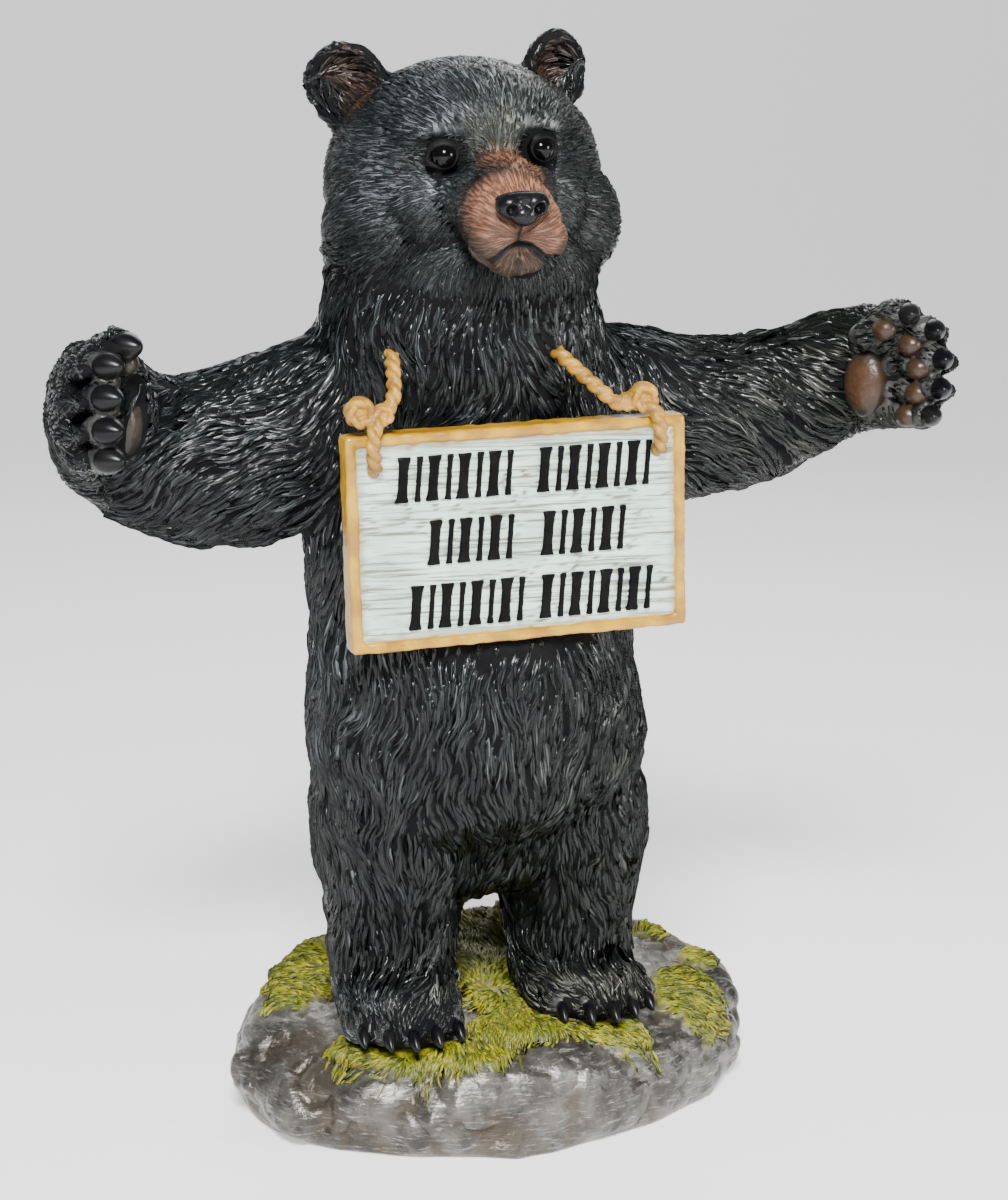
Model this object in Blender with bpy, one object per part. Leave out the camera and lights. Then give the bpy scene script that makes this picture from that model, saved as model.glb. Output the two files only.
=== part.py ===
"""Standing bear figurine in painted cast resin, arms held out for a hug.

The bear stands on a mossy rock base and carries a small framed sign on its chest, hung from two
moulded rope stretches. The origin is the centre of the base's flat underside. +Z is up, the bear
faces -Y, and +X is on the right of someone who looks at its face.
"""

import math

import bmesh
import bpy
import numpy as np
from mathutils import Euler, Matrix, Vector, noise
from mathutils.kdtree import KDTree

MM = 0.001
GAP = 0.3 * MM  # between pieces that touch

# Rock base
BASE_LENGTH = 132 * MM
BASE_DEPTH = 103 * MM
BASE_TURN = 15  # degrees from +X to the long axis of the base
BASE_HEIGHT = 23.2 * MM  # from the underside to the ground that the bear stands on
BACK_RISE = 4.0 * MM  # how much higher the rocks stand along the back
FRONT_BULGE = 2.0 * MM  # how far the rock stands out below the bear's face
ROCK_RELIEF = 3.8 * MM
ROCK_SIZE = 17 * MM  # of one boulder in the base
CRUST_SIZE = 6.5 * MM  # of the smaller lumps on the boulders
MOSS_RELIEF = 1.6 * MM
TUFT_SIZE = 4.0 * MM  # of one cushion of moss

# Bear. Its tables are drawn on a grid on which it is 226 units tall.
BEAR_HEIGHT = 226 * MM  # soles to ear tips
GRID_HEIGHT = 226
STANCE = (-9.0 * MM, -16.2 * MM)  # the body's axis, from the middle of the base

# Sign
SIGN_WIDTH = 75 * MM
SIGN_HEIGHT = 46.5 * MM
SIGN_THICKNESS = 6.5 * MM
FRAME_WIDTH = 2.9 * MM
FRAME_ROUND = 1.0 * MM  # rounding of the frame's edges
BOARD_RECESS = 1.4 * MM  # how far the board lies behind the frame's face
SIGN_CHEST = (-1.5, -39.8, 118.5)  # middle of the sign's front face on the bear's grid
SIGN_ROLL = 2.2  # degrees, right side up
SIGN_TILT = 3.0  # degrees, top forwards
STROKE_RELIEF = 0.5 * MM
STROKE_HEIGHT = 8.2 * MM
STROKE_WIDTH = 2.1 * MM
STROKE_PITCH = 5.9 * MM
STROKE_LEAN = 0.9 * MM  # from the foot of a stroke to its head
THIN_STROKE = 0.5  # width of a thin stroke as a share of a thick one
THIN_PLACE = 0.55  # where a thin stroke starts, as a share of the pitch
ROW_PITCH = 13.2 * MM
ROW_SHIFT = -0.8 * MM  # of the middle row, up from the board's middle
STROKE_ROWS = ((-22.5, 4), (5.5, 4), (-19.5, 3), (3.5, 3), (-22.5, 4), (5.5, 4))  # start in mm, count
ROW_OF = (0, 0, 1, 1, 2, 2)  # the row that each group of strokes is in, from the top

# Rope
ROPE_DIAMETER = 3.3 * MM
ROPE_LAY = 6.0 * MM  # length of one full twist of its two strands
ROPE_CLEARANCE = 0.25 * MM  # around the rope where it passes through the sign
KNOT_DIAMETER = 6.2 * MM
KNOT_TURNS = 5  # lumps of rope around a knot

# Triangle budgets of the free forms
BEAR_TRIANGLES = 6700
ROPE_TRIANGLES = 460
BASE_SPOKES = 52

UNIT = BEAR_HEIGHT / GRID_HEIGHT
SOLE_Z = BASE_HEIGHT + GAP


def clear_scene():
    for obj in list(bpy.data.objects):
        bpy.data.objects.remove(obj)


def paint(name, colour, roughness, metallic=0.0):
    """A material with one plain colour."""
    material = bpy.data.materials.new(name)
    material.use_nodes = True
    shader = material.node_tree.nodes["Principled BSDF"]
    shader.inputs["Base Color"].default_value = (*colour, 1.0)
    shader.inputs["Roughness"].default_value = roughness
    shader.inputs["Metallic"].default_value = metallic
    return material


def add_object(name, bm):
    """Puts a bmesh into the scene as an object, and frees the bmesh."""
    mesh = bpy.data.meshes.new(name)
    bm.to_mesh(mesh)
    bm.free()
    obj = bpy.data.objects.new(name, mesh)
    bpy.context.scene.collection.objects.link(obj)
    return obj


def add_copy(bm, other):
    """Adds all of another bmesh to a bmesh, and frees the other."""
    mesh = bpy.data.meshes.new("copy")
    other.to_mesh(mesh)
    other.free()
    bm.from_mesh(mesh)
    bpy.data.meshes.remove(mesh)


def apply_modifiers(obj):
    """Replaces an object's mesh with what its modifiers make of it."""
    graph = bpy.context.evaluated_depsgraph_get()
    mesh = bpy.data.meshes.new_from_object(obj.evaluated_get(graph))
    obj.modifiers.clear()
    obj.data = mesh
    return obj


def as_cutter(obj):
    obj.hide_render = True
    obj.display_type = "WIRE"
    return obj


def combine(obj, other, operation):
    """A Boolean with the EXACT solver that stays on the object as a modifier."""
    modifier = obj.modifiers.new(operation.lower() + " " + other.name, "BOOLEAN")
    modifier.operation = operation
    modifier.solver = "EXACT"
    modifier.object = as_cutter(other)
    return modifier


# Shapes that the free forms are built from


def add_ball(bm, centre, radii, turn=None, finer=3):
    """An ellipsoid. turn is a 3x3 rotation about its centre."""
    matrix = Matrix.Translation(centre) @ (turn.to_4x4() if turn else Matrix.Identity(4))
    matrix = matrix @ Matrix.Diagonal((*radii, 1.0))
    bmesh.ops.create_icosphere(bm, subdivisions=finer, radius=1.0, matrix=matrix)


def add_rings(bm, rings):
    """Skins a list of closed rings of points, with a fan over each end."""
    loops = [[bm.verts.new(point) for point in ring] for ring in rings]
    made = []
    for first, second in zip(loops, loops[1:]):
        count = len(first)
        for i in range(count):
            j = (i + 1) % count
            made.append(bm.faces.new((first[i], first[j], second[j], second[i])))
    for loop, outward in ((loops[0], False), (loops[-1], True)):
        middle = bm.verts.new(sum((v.co for v in loop), Vector()) / len(loop))
        count = len(loop)
        for i in range(count):
            corners = (loop[i], loop[(i + 1) % count], middle)
            made.append(bm.faces.new(corners if outward else corners[::-1]))
    bmesh.ops.recalc_face_normals(bm, faces=made)


def section_axes(points, up):
    """Two axes across a path at each of its points, the second nearest to up."""
    axes = []
    for i, _ in enumerate(points):
        before = points[max(i - 1, 0)]
        after = points[min(i + 1, len(points) - 1)]
        along = (after - before).normalized()
        side = along.cross(up).normalized()
        axes.append((side, side.cross(along).normalized()))
    return axes


def section(centre, side, rise, width, height, sides):
    """A closed elliptical ring of points."""
    angles = [2 * math.pi * k / sides for k in range(sides)]
    return [centre + side * (math.cos(a) * width) + rise * (math.sin(a) * height) for a in angles]


def add_limb(bm, stations, up=Vector((0, 0, 1)), sides=20):
    """A tube through (x, y, z, half width, half height), with rounded ends."""
    points = [Vector(s[:3]) for s in stations]
    axes = section_axes(points, up)
    rings = [section(p, *a, s[3], s[4], sides) for p, a, s in zip(points, axes, stations)]
    caps = []
    for end, inner, shares in ((0, 1, (0.35, 0.75)), (-1, -2, (0.75, 0.35))):
        width, height = stations[end][3:5]
        out = (points[end] - points[inner]).normalized() * min(width, height)
        cap = []
        for share in shares:
            centre = points[end] + out * math.sqrt(1 - share * share)
            cap.append(section(centre, *axes[end], width * share, height * share, sides))
        caps.append(cap)
    add_rings(bm, caps[0] + rings + caps[1])


def add_claw(bm, root, tip, bend, radius, sides=8, steps=5):
    """A curved cone from root to tip, arched towards bend."""
    points = []
    for k in range(steps + 1):
        t = k / steps
        points.append(root.lerp(tip, t) + bend * (4 * t * (1 - t)))
    axes = section_axes(points, bend.normalized() + Vector((0.01, 0.02, 0.03)))
    rings = []
    for k, (point, axis) in enumerate(zip(points, axes)):
        size = radius * (1 - 0.75 * (k / steps) ** 2.2)
        rings.append(section(point, *axis, size, size, sides))
    add_rings(bm, rings)


def remesh(obj, voxel, smooth_steps=0):
    """Fuses an object's overlapping shells into one skin of even faces."""
    fuse = obj.modifiers.new("fuse", "REMESH")
    fuse.mode = "VOXEL"
    fuse.voxel_size = voxel
    if smooth_steps:
        smooth = obj.modifiers.new("soften", "SMOOTH")
        smooth.factor = 0.5
        smooth.iterations = smooth_steps
    return apply_modifiers(obj)


def vertex_array(mesh, attribute="co"):
    values = np.empty(len(mesh.vertices) * 3, np.float32)
    mesh.vertices.foreach_get(attribute, values)
    return values.reshape(-1, 3).astype(float)


# The bear. x, y and z are grid units from the middle between its soles.

TORSO = (  # x, y, z, half width, half depth
    (2.5, 1, 51, 33, 22),
    (1.5, -1, 59, 37.5, 29),
    (-1.6, -3, 73, 37.4, 32),
    (-2.2, -4, 88, 35.2, 32.5),
    (-1.4, -3, 101, 35.8, 30.5),
    (-1.2, 0, 114, 37, 28),
    (0, 1, 128, 36, 27),
    (-1, 0, 142, 35.5, 27.5),
    (-3.8, -3, 155, 31.5, 28),
    (-4.8, -5, 166, 29.3, 27.5),
    (-4.6, -6, 180, 27.5, 26),
)
ARM_NEAR = (  # x, y, z, half thickness, half height
    (-22, 3, 139.5, 19, 21),
    (-38, 3, 136.5, 18, 20),
    (-54, 2, 132.3, 16.5, 18.6),
    (-67, 1, 132.3, 15.5, 17.2),
    (-76, -1, 134.8, 14, 14.8),
    (-83, -7, 140.5, 12, 15),
    (-88, -15, 145, 9.5, 15),
    (-90.3, -24, 146.5, 8, 13.8),
)
ARM_FAR = (
    (22, 3, 140, 19, 19.5),
    (38, 3, 138.5, 18, 19.2),
    (53, 2, 138, 16, 17.5),
    (66, 0, 139.5, 14, 16),
    (79, -3, 144.3, 12.5, 14),
    (87.5, -9, 148.5, 11, 14),
    (92.5, -16, 150.3, 9, 14.6),
    (95.5, -24, 150.5, 7.5, 13.8),
)
LEG_NEAR = (
    (-18, 3, 50, 19.5, 24),
    (-19, 3, 36, 16.5, 20),
    (-19.5, 3, 24, 13.3, 16.5),
    (-20, 1, 12, 12.5, 15),
    (-20.5, -1, 5, 12.8, 14),
)
LEG_FAR = (
    (20.5, 3, 50, 20, 24),
    (23, 4, 37, 18, 20),
    (23.7, 4, 24, 14, 16.5),
    (24, 3, 12, 13, 15),
    (24, 2, 5, 13, 14),
)
FEET = ((-20.7, -2, -1), (24.5, 2.5, 1))  # where each foot is, and the side it is on
FOOT_TURN = 5  # degrees, toes outwards
FOOT_PAD = (14, 20)  # the ground's flat place under a foot, half across and half along
PALM_TURN = 25  # degrees from facing the other hand to facing forwards
HEAD = Vector((-4, -8, 192))
HEAD_ROLL = -3.6  # degrees about the line of sight, right side up
HEAD_BALLS = (  # centre from HEAD, radii
    ((0, 3, 1), (30.5, 27, 26)),
    ((0, -7, 9), (22, 18, 16)),
    ((-19.5, -2, -9), (13.5, 16, 14)),
    ((19.5, -2, -9), (13.5, 16, 14)),
    ((0, -7, -19), (25, 19, 14)),
    ((-12, -14, -5), (10, 9.5, 10)),
    ((12, -14, -5), (10, 9.5, 10)),
    ((-9.5, -17, 12), (7, 6, 4)),
    ((9.5, -17, 12), (7, 6, 4)),
)
MUZZLE = (  # x, y, z from HEAD, half width, half height
    (0, -15, 0, 12, 12),
    (0, -24, -2.6, 11.2, 11),
    (0, -31, -4.8, 11.0, 10.2),
    (0, -36, -6.6, 10.4, 9.0),
)
EAR_OFFSET = Vector((24.0, 6, 22.5))
EAR_RADIUS = 9.4
FINGERS = (  # height above the middle of the hand, reach, shift towards the palm
    (12.4, 2.0, 4.5),
    (8.2, 6.5, 0.0),
    (1.8, 8.5, -1.0),
    (-4.8, 8.0, -1.0),
    (-10.4, 4.5, 0.0),
)


def to_metres(bm):
    """Turns grid units into the bear's place on its base, in metres."""
    place = Matrix.Translation((*STANCE, SOLE_Z)) @ Matrix.Scale(UNIT, 4)
    bmesh.ops.transform(bm, matrix=place, verts=bm.verts)


def head_place():
    """From the head's own frame to the grid, with its roll."""
    return Matrix.Translation(HEAD) @ Matrix.Rotation(math.radians(HEAD_ROLL), 4, "Y")


def add_masses(bm):
    """Torso, limbs and the big forms of the head, before they are softened."""
    add_limb(bm, TORSO, up=Vector((0, 1, 0)), sides=32)
    for arm in (ARM_NEAR, ARM_FAR):
        add_limb(bm, arm)
    for leg in (LEG_NEAR, LEG_FAR):
        add_limb(bm, leg, up=Vector((0, 1, 0)))
    for x, y, side in FEET:
        turn = Matrix.Rotation(math.radians(FOOT_TURN * side), 3, "Z")
        add_ball(bm, (x, y - 7, 4.5), (13.6, 17.5, 9.5), turn)
        add_ball(bm, (x, y + 8, 4), (11, 9, 9))
    add_ball(bm, (0, 27, 46), (6, 8, 7))
    head = bmesh.new()
    for centre, radii in HEAD_BALLS:
        add_ball(head, centre, radii)
    add_limb(head, MUZZLE)
    bmesh.ops.transform(head, matrix=head_place(), verts=head.verts)
    add_copy(bm, head)


def add_ear(bm, side):
    """A round cup that opens forwards and a little outwards."""
    arc = [(math.cos(a), math.sin(a)) for a in np.linspace(0.02, math.pi / 2, 7)]
    back = [(EAR_RADIUS * c, 6.0 * s) for c, s in arc]
    inner = [((EAR_RADIUS - 2.6) * c, 4.0 * s - 0.4) for c, s in arc]
    rim = [(EAR_RADIUS - 0.6, -1.3), (EAR_RADIUS - 2.0, -1.3)]
    rings = []
    for radius, depth in (back[::-1] + rim + inner)[1:-1]:
        centre = Vector((0, depth, 0))
        rings.append(section(centre, Vector((1, 0, 0)), Vector((0, 0, 1.05)), radius, radius, 20))
    ear = bmesh.new()
    add_rings(ear, rings)
    turn = Matrix.Rotation(math.radians(24 * side), 4, "Z") @ Matrix.Rotation(math.radians(8), 4, "X")
    centre = Vector((EAR_OFFSET.x * side, EAR_OFFSET.y, EAR_OFFSET.z))
    place = head_place() @ Matrix.Translation(centre) @ turn
    bmesh.ops.transform(ear, matrix=place, verts=ear.verts)
    add_copy(bm, ear)


def add_face(bm):
    """Nose, eyes, lids, lips and chin."""
    face = bmesh.new()
    add_ball(face, (0, -43.0, -1.4), (5.7, 3.2, 3.7))
    add_ball(face, (0, -43.2, -4.4), (3.0, 2.6, 3.2))
    for side in (-1, 1):
        add_ball(face, (10.6 * side, -23.2, 6.2), (3.0, 3.0, 3.0))
        lid = Matrix.Rotation(math.radians(12 * side), 3, "Y")
        add_ball(face, (10.9 * side, -23.4, 9.2), (4.4, 2.6, 1.2), lid)
        add_ball(face, (10.9 * side, -22.8, 3.0), (4.0, 2.2, 1.0), lid)
        add_ball(face, (5.0 * side, -39.5, -10.2), (5.6, 5.0, 4.6))
    add_ball(face, (0, -37.5, -16.6), (6.2, 4.8, 3.2))
    bmesh.ops.transform(face, matrix=head_place(), verts=face.verts)
    add_copy(bm, face)


def add_hand(bm, wrist, side):
    """Five fingers stacked one above another, their hooked claws, and the pads on the palm."""
    turn = math.radians(PALM_TURN)
    palm = Vector((-math.cos(turn) * side, -math.sin(turn), 0))  # the way the palm faces
    out = Vector((math.sin(turn) * side, -math.cos(turn), 0))  # the way the fingers point
    turn_about = Matrix.Rotation(turn * side, 3, "Z")
    knuckle = wrist - out * 2.0
    for height, reach, shift in FINGERS:
        root = knuckle + Vector((0, 0, height)) + palm * shift
        end = root + out * reach
        add_limb(bm, [(*root, 4.4, 3.5), (*end, 4.2, 3.4)], sides=10)
        start = end + out * 3.4 - palm * 1.5
        add_claw(bm, start, end + out * 3.4 + palm * 7.2, out * 2.9, 2.7)
        add_ball(bm, end - out * 1.5 + palm * 3.4, (2.4, 3.0, 2.6), turn_about, finer=2)
    centre = wrist + out * -10.0 + palm * 6.2 + Vector((0, 0, -1))
    add_ball(bm, centre, (3.4, 6.6, 7.8), turn_about)


def add_toes(bm, x, y, side):
    """Five toes with claws across the front of a foot."""
    turn = Matrix.Rotation(math.radians(FOOT_TURN * side), 3, "Z")
    for i in range(-2, 3):
        across = i * 5.2
        ahead = -20.5 + abs(i) ** 1.7 * 1.3
        root = turn @ Vector((across, ahead, 4.0)) + Vector((x, y, 0))
        add_ball(bm, root, (3.1, 4.4, 3.8), finer=2)
        start = root + Vector((0, -2.6, 0.4))
        add_claw(bm, start, root + Vector((across * 0.04, -7.0, -2.6)), Vector((0, -0.8, 1.2)), 1.7)


def combed(points):
    """The way the fur lies at each point of the grid, as rows of unit vectors."""
    x, z = points[:, 0], points[:, 2]
    down = np.stack([0.006 * x, 0 * x, 0 * x - 1], 1)
    arm = np.stack([np.sign(x) * 0.85, 0 * x - 0.12, 0 * x - 0.5], 1)
    face = points - np.array(HEAD) - (0, -42, 6)
    face /= np.linalg.norm(face, axis=1, keepdims=True)
    on_arm = np.clip((np.abs(x) - 32) / 14, 0, 1)[:, None]
    on_head = np.clip((z - 166) / 16, 0, 1)[:, None] * (1 - on_arm)
    lie = down * (1 - on_arm) * (1 - on_head) + arm * on_arm + face * on_head
    return lie / np.linalg.norm(lie, axis=1, keepdims=True)


def bareness(points):
    """1 where the cast has no locks, such as the muzzle, nose, eyes, palms and claws. 0 on fur."""
    from_head = points - np.array(HEAD)
    muzzle = np.linalg.norm((from_head - (0, -36, -6)) / (16, 17, 15), axis=1)
    eyes = np.linalg.norm((from_head - (0, -22, 6)) / (18, 10, 8), axis=1)
    ears = np.min([np.linalg.norm(from_head - (s * 25, 5, 23), axis=1) / 11 for s in (-1, 1)], 0)
    hands = (np.abs(points[:, 0]) > 82) & (points[:, 1] < -14)
    feet = (points[:, 2] < 8) & (points[:, 1] < -16)
    soft = np.clip(2.2 - 2 * np.minimum(np.minimum(muzzle, eyes), ears), 0, 1)
    return np.maximum(soft, (hands | feet).astype(float))


def scattered(points, tree, distance):
    """Indices of points that keep about that distance from each other, the same on each run."""
    taken = np.zeros(len(points), bool)
    chosen = []
    for i in np.random.default_rng(7).permutation(len(points)):
        if taken[i]:
            continue
        chosen.append(i)
        for _, j, _ in tree.find_range(points[i], distance):
            taken[j] = True
    return chosen


def carve_locks(obj, spacing=6.0, length=17.0, width=5.6, height=2.0):
    """Raises overlapping pointed locks along the lie of the fur. Sizes are in grid units."""
    mesh = obj.data
    points = vertex_array(mesh)
    normals = vertex_array(mesh, "normal")
    tree = KDTree(len(points))
    for i, point in enumerate(points):
        tree.insert(point, i)
    tree.balance()
    lie = combed(points)
    lie -= normals * (lie * normals).sum(1, keepdims=True)
    lie /= np.maximum(np.linalg.norm(lie, axis=1, keepdims=True), 1e-6)
    raised = np.zeros(len(points))
    for i in scattered(points, tree, spacing):
        near = [j for _, j, _ in tree.find_range(points[i], length * 0.6)]
        near = np.array([j for j in near if normals[j] @ normals[i] > 0.3])
        size = 0.7 if points[i][2] > 178 else 1.0
        offset = points[near] - points[i]
        along = (offset @ lie[i]) / (length * size) + 0.5
        across = offset @ np.cross(normals[i], lie[i]) / (width * size)
        taper = np.clip(1.15 - along, 0.05, 1) ** 0.6
        ridge = np.clip(1 - np.abs(across / taper), 0, 1) ** 0.7
        rise = np.clip(along, 0, 1) ** 0.8 * (along < 1) * ridge * size
        raised[near] = np.maximum(raised[near], rise)
    points += normals * (raised * height * (1 - bareness(points)))[:, None]
    mesh.vertices.foreach_set("co", points.astype(np.float32).ravel())
    mesh.update()


def fineness(points):
    """How small the triangles stay. 1 on the eyes and nose, 0.85 on other bare places, 0 on fur."""
    from_head = points - np.array(HEAD)
    eyes = np.min([np.linalg.norm(from_head - (s * 10.6, -23, 6.2), axis=1) / 6 for s in (-1, 1)], 0)
    nose = np.linalg.norm(from_head - (0, -43, -3), axis=1) / 7
    keen = (np.minimum(eyes, nose) < 1).astype(float)
    return np.maximum(keen, 0.85 * (bareness(points) >= 0.5))


def lighten(obj, triangles, fine=None):
    """Collapses edges until about that many triangles are left. fine(points) marks what keeps more."""
    mesh = obj.data
    faces = sum(len(p.vertices) - 2 for p in mesh.polygons)
    decimate = obj.modifiers.new("lighten", "DECIMATE")
    decimate.decimate_type = "COLLAPSE"
    decimate.ratio = triangles / faces
    if fine:
        group = obj.vertex_groups.new(name="fine")
        level = fine(vertex_array(mesh))
        for value in np.unique(level):
            group.add(np.flatnonzero(level == value).tolist(), max(1.0 - value, 0.02), "REPLACE")
        decimate.vertex_group = group.name
        decimate.vertex_group_factor = 1.0
    return apply_modifiers(obj)


def flatten_soles(obj):
    """Cuts the cast flat at the soles and puts it in its place on the base."""
    bm = bmesh.new()
    bm.from_mesh(obj.data)
    geometry = bm.verts[:] + bm.edges[:] + bm.faces[:]
    sole = bmesh.ops.bisect_plane(
        bm, geom=geometry, dist=1e-6, plane_co=(0, 0, 0), plane_no=(0, 0, -1), clear_outer=True
    )
    edges = [e for e in sole["geom_cut"] if isinstance(e, bmesh.types.BMEdge)]
    bmesh.ops.edgenet_fill(bm, edges=edges)
    bmesh.ops.triangulate(bm, faces=bm.faces[:])
    bmesh.ops.recalc_face_normals(bm, faces=bm.faces[:])
    to_metres(bm)
    bm.to_mesh(obj.data)
    bm.free()


def make_bear():
    masses = bmesh.new()
    add_masses(masses)
    bear = add_object("bear", masses)
    remesh(bear, 1.6, smooth_steps=8)
    details = bmesh.new()
    details.from_mesh(bear.data)
    for side in (-1, 1):
        add_ear(details, side)
    add_face(details)
    add_hand(details, Vector(ARM_NEAR[-1][:3]), -1)
    add_hand(details, Vector(ARM_FAR[-1][:3]), 1)
    for x, y, side in FEET:
        add_toes(details, x, y, side)
    details.to_mesh(bear.data)
    details.free()
    remesh(bear, 0.85, smooth_steps=1)
    carve_locks(bear)
    lighten(bear, BEAR_TRIANGLES, fine=fineness)
    flatten_soles(bear)
    bear.data.materials.append(paint("black fur", (0.018, 0.02, 0.022), 0.38))
    return bear


# The rock base


def foot_distance(x, y):
    """How far a point of the base lies from the nearest foot. 1 is the edge of the foot's flat place."""
    nearest = 9.0
    for foot_x, foot_y, _ in FEET:
        across = (x - STANCE[0]) / UNIT - foot_x
        along = (y - STANCE[1]) / UNIT - foot_y + 5
        nearest = min(nearest, math.hypot(across / FOOT_PAD[0], along / FOOT_PAD[1]))
    return nearest


def smooth_step(low, high, value):
    t = min(max((value - low) / (high - low), 0.0), 1.0)
    return t * t * (3 - 2 * t)


BASE_PROFILE = (  # share of the outline, share of the height
    (0.94, 0.0),
    (0.985, 0.16),
    (1.0, 0.38),
    (0.99, 0.6),
    (0.95, 0.79),
    (0.885, 0.91),
    (0.8, 0.97),
    (0.69, 1.0),
    (0.57, 1.0),
    (0.45, 1.0),
    (0.32, 1.0),
    (0.18, 1.0),
    (0.06, 1.0),
)


def base_point(share, height, angle):
    """A point on the base's surface, in metres."""
    turn = math.radians(BASE_TURN)
    along = BASE_LENGTH / 2 * share * math.cos(angle)
    across = BASE_DEPTH / 2 * share * math.sin(angle)
    x = along * math.cos(turn) - across * math.sin(turn)
    y = along * math.sin(turn) + across * math.cos(turn)
    rocky = smooth_step(0.66, 0.9, share)
    free = smooth_step(1.2, 1.9, foot_distance(x, y))
    place = Vector((x, y, height * BASE_HEIGHT))
    lumps = 0.55 - noise.voronoi(place / ROCK_SIZE + Vector((3.1, 0.4, 1.7)))[0][0]
    lumps += 0.35 * noise.noise(place / CRUST_SIZE)
    front = smooth_step(0.86, 1, -y / math.hypot(x, y))
    outwards = rocky * lumps * ROCK_RELIEF + front * FRONT_BULGE
    swell = 1 + outwards / (BASE_DEPTH / 2)
    back = smooth_step(-0.3, 0.7, math.sin(angle + turn)) * smooth_step(0.6, 0.88, share)
    moss = (1 - rocky) * (0.7 + 0.6 * noise.noise(place / TUFT_SIZE))
    rise = back * BACK_RISE * height + free * moss * MOSS_RELIEF
    rise += free * rocky * height * lumps * ROCK_RELIEF * 0.7
    return Vector((x * swell, y * swell, height * BASE_HEIGHT + rise))


def make_base():
    bm = bmesh.new()
    angles = [2 * math.pi * k / BASE_SPOKES for k in range(BASE_SPOKES)]
    rings = [[base_point(share, height, a) for a in angles] for share, height in BASE_PROFILE]
    add_rings(bm, rings)
    bmesh.ops.triangulate(bm, faces=bm.faces[:])
    base = add_object("rock_base", bm)
    base.data.materials.append(paint("grey rock", (0.20, 0.20, 0.19), 0.42))
    return base


# The sign. Its own frame has x across, z up and y backwards from the middle of its front face.


def sign_place():
    turn = Euler((math.radians(SIGN_TILT), math.radians(-SIGN_ROLL), 0))
    centre = Vector((*STANCE, SOLE_Z)) + Vector(SIGN_CHEST) * UNIT
    return Matrix.Translation(centre) @ turn.to_matrix().to_4x4()


def add_box(bm, low, high, shear=0.0):
    """A box between two corners. shear moves its top along x."""
    corners = []
    for z, shift in ((low[2], 0.0), (high[2], shear)):
        for x, y in ((low[0], low[1]), (high[0], low[1]), (high[0], high[1]), (low[0], high[1])):
            corners.append(bm.verts.new((x + shift, y, z)))
    for quad in ((3, 2, 1, 0), (4, 5, 6, 7), (0, 1, 5, 4), (1, 2, 6, 5), (2, 3, 7, 6), (3, 0, 4, 7)):
        bm.faces.new([corners[i] for i in quad])


def sign_box(grow=0.0):
    """The sign's block, or a larger one around it."""
    bm = bmesh.new()
    half_width = SIGN_WIDTH / 2 + grow
    half_height = SIGN_HEIGHT / 2 + grow
    add_box(bm, (-half_width, -grow, -half_height), (half_width, SIGN_THICKNESS + grow, half_height))
    return bm


def make_strokes():
    """Rows of short leaning strokes, thick and thin in turn, that stand proud of the board."""
    bm = bmesh.new()
    for (start, count), row in zip(STROKE_ROWS, ROW_OF):
        foot = ROW_PITCH * (1 - row) - STROKE_HEIGHT / 2 + ROW_SHIFT
        for k in range(count):
            left = start * MM + k * STROKE_PITCH
            for offset, share in ((0.0, 1.0), (STROKE_PITCH * THIN_PLACE, THIN_STROKE)):
                low = (left + offset, BOARD_RECESS - STROKE_RELIEF, foot)
                right = left + offset + STROKE_WIDTH * share
                high = (right, BOARD_RECESS + STROKE_RELIEF, foot + STROKE_HEIGHT)
                add_box(bm, low, high, shear=STROKE_LEAN)
    strokes = add_object("strokes", bm)
    strokes.matrix_world = sign_place()
    return strokes


def make_sign(rope_seats):
    bm = sign_box()
    front = min(bm.faces, key=lambda face: face.calc_center_median().y)
    bmesh.ops.inset_region(bm, faces=[front], thickness=FRAME_WIDTH, use_even_offset=True)
    bmesh.ops.inset_region(bm, faces=[front], thickness=0.15 * MM, depth=-BOARD_RECESS)
    level = [e for e in bm.edges if max(abs(v.co.y) for v in e.verts) < 1e-6]
    straight = [e for e in level if min(abs(a) for a in (e.verts[1].co - e.verts[0].co).xz) < 1e-6]
    bmesh.ops.bevel(bm, geom=straight, offset=FRAME_ROUND, segments=2, affect="EDGES")
    sign = add_object("sign", bm)
    sign.matrix_world = sign_place()
    sign.data.materials.append(paint("pale board", (0.62, 0.68, 0.62), 0.6))
    combine(sign, make_strokes(), "UNION")
    for seat in rope_seats:
        combine(sign, seat, "DIFFERENCE")
    return sign


# The rope. Its paths are in the sign's own frame, in millimetres from the sign's upper corner:
# x towards the middle of the sign, y backwards, z upwards.

ROPE_LEFT = ((13.2, 11.0, 15.5), (12.2, 6.0, 11.5), (11.2, 2.6, 7.5), (8.8, 0.4, 4.2))
LOOP_LEFT = ((7.2, -0.4, 3.4), (5.6, -2.4, 0.8), (5.3, -2.7, -2.6), (6.0, -0.8, -6.4), (6.3, 2.6, -7.9))
KNOTS_LEFT = ((3.4, 0.4, 5.0, 1.0), (8.2, 0.2, 4.2, 0.72))  # x, y, z, share of the knot's diameter
ROPE_RIGHT = ((25.4, 11.0, 13.8), (22.6, 6.0, 10.4), (19.0, 2.6, 6.6), (15.2, 0.9, 3.3), (11.5, 0.5, 3.4))
LOOP_RIGHT = ((8.6, -1.0, 3.2), (7.2, -2.6, 0.4), (6.7, -2.7, -2.6), (6.1, -0.8, -6.4), (6.0, 2.6, -7.9))
KNOTS_RIGHT = ((9.6, 0.2, 4.2, 1.0), (13.2, 0.6, 3.4, 0.62))
ROPES = (
    ("rope_left", -1, (ROPE_LEFT, LOOP_LEFT), KNOTS_LEFT),
    ("rope_right", 1, (ROPE_RIGHT, LOOP_RIGHT), KNOTS_RIGHT),
)


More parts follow.
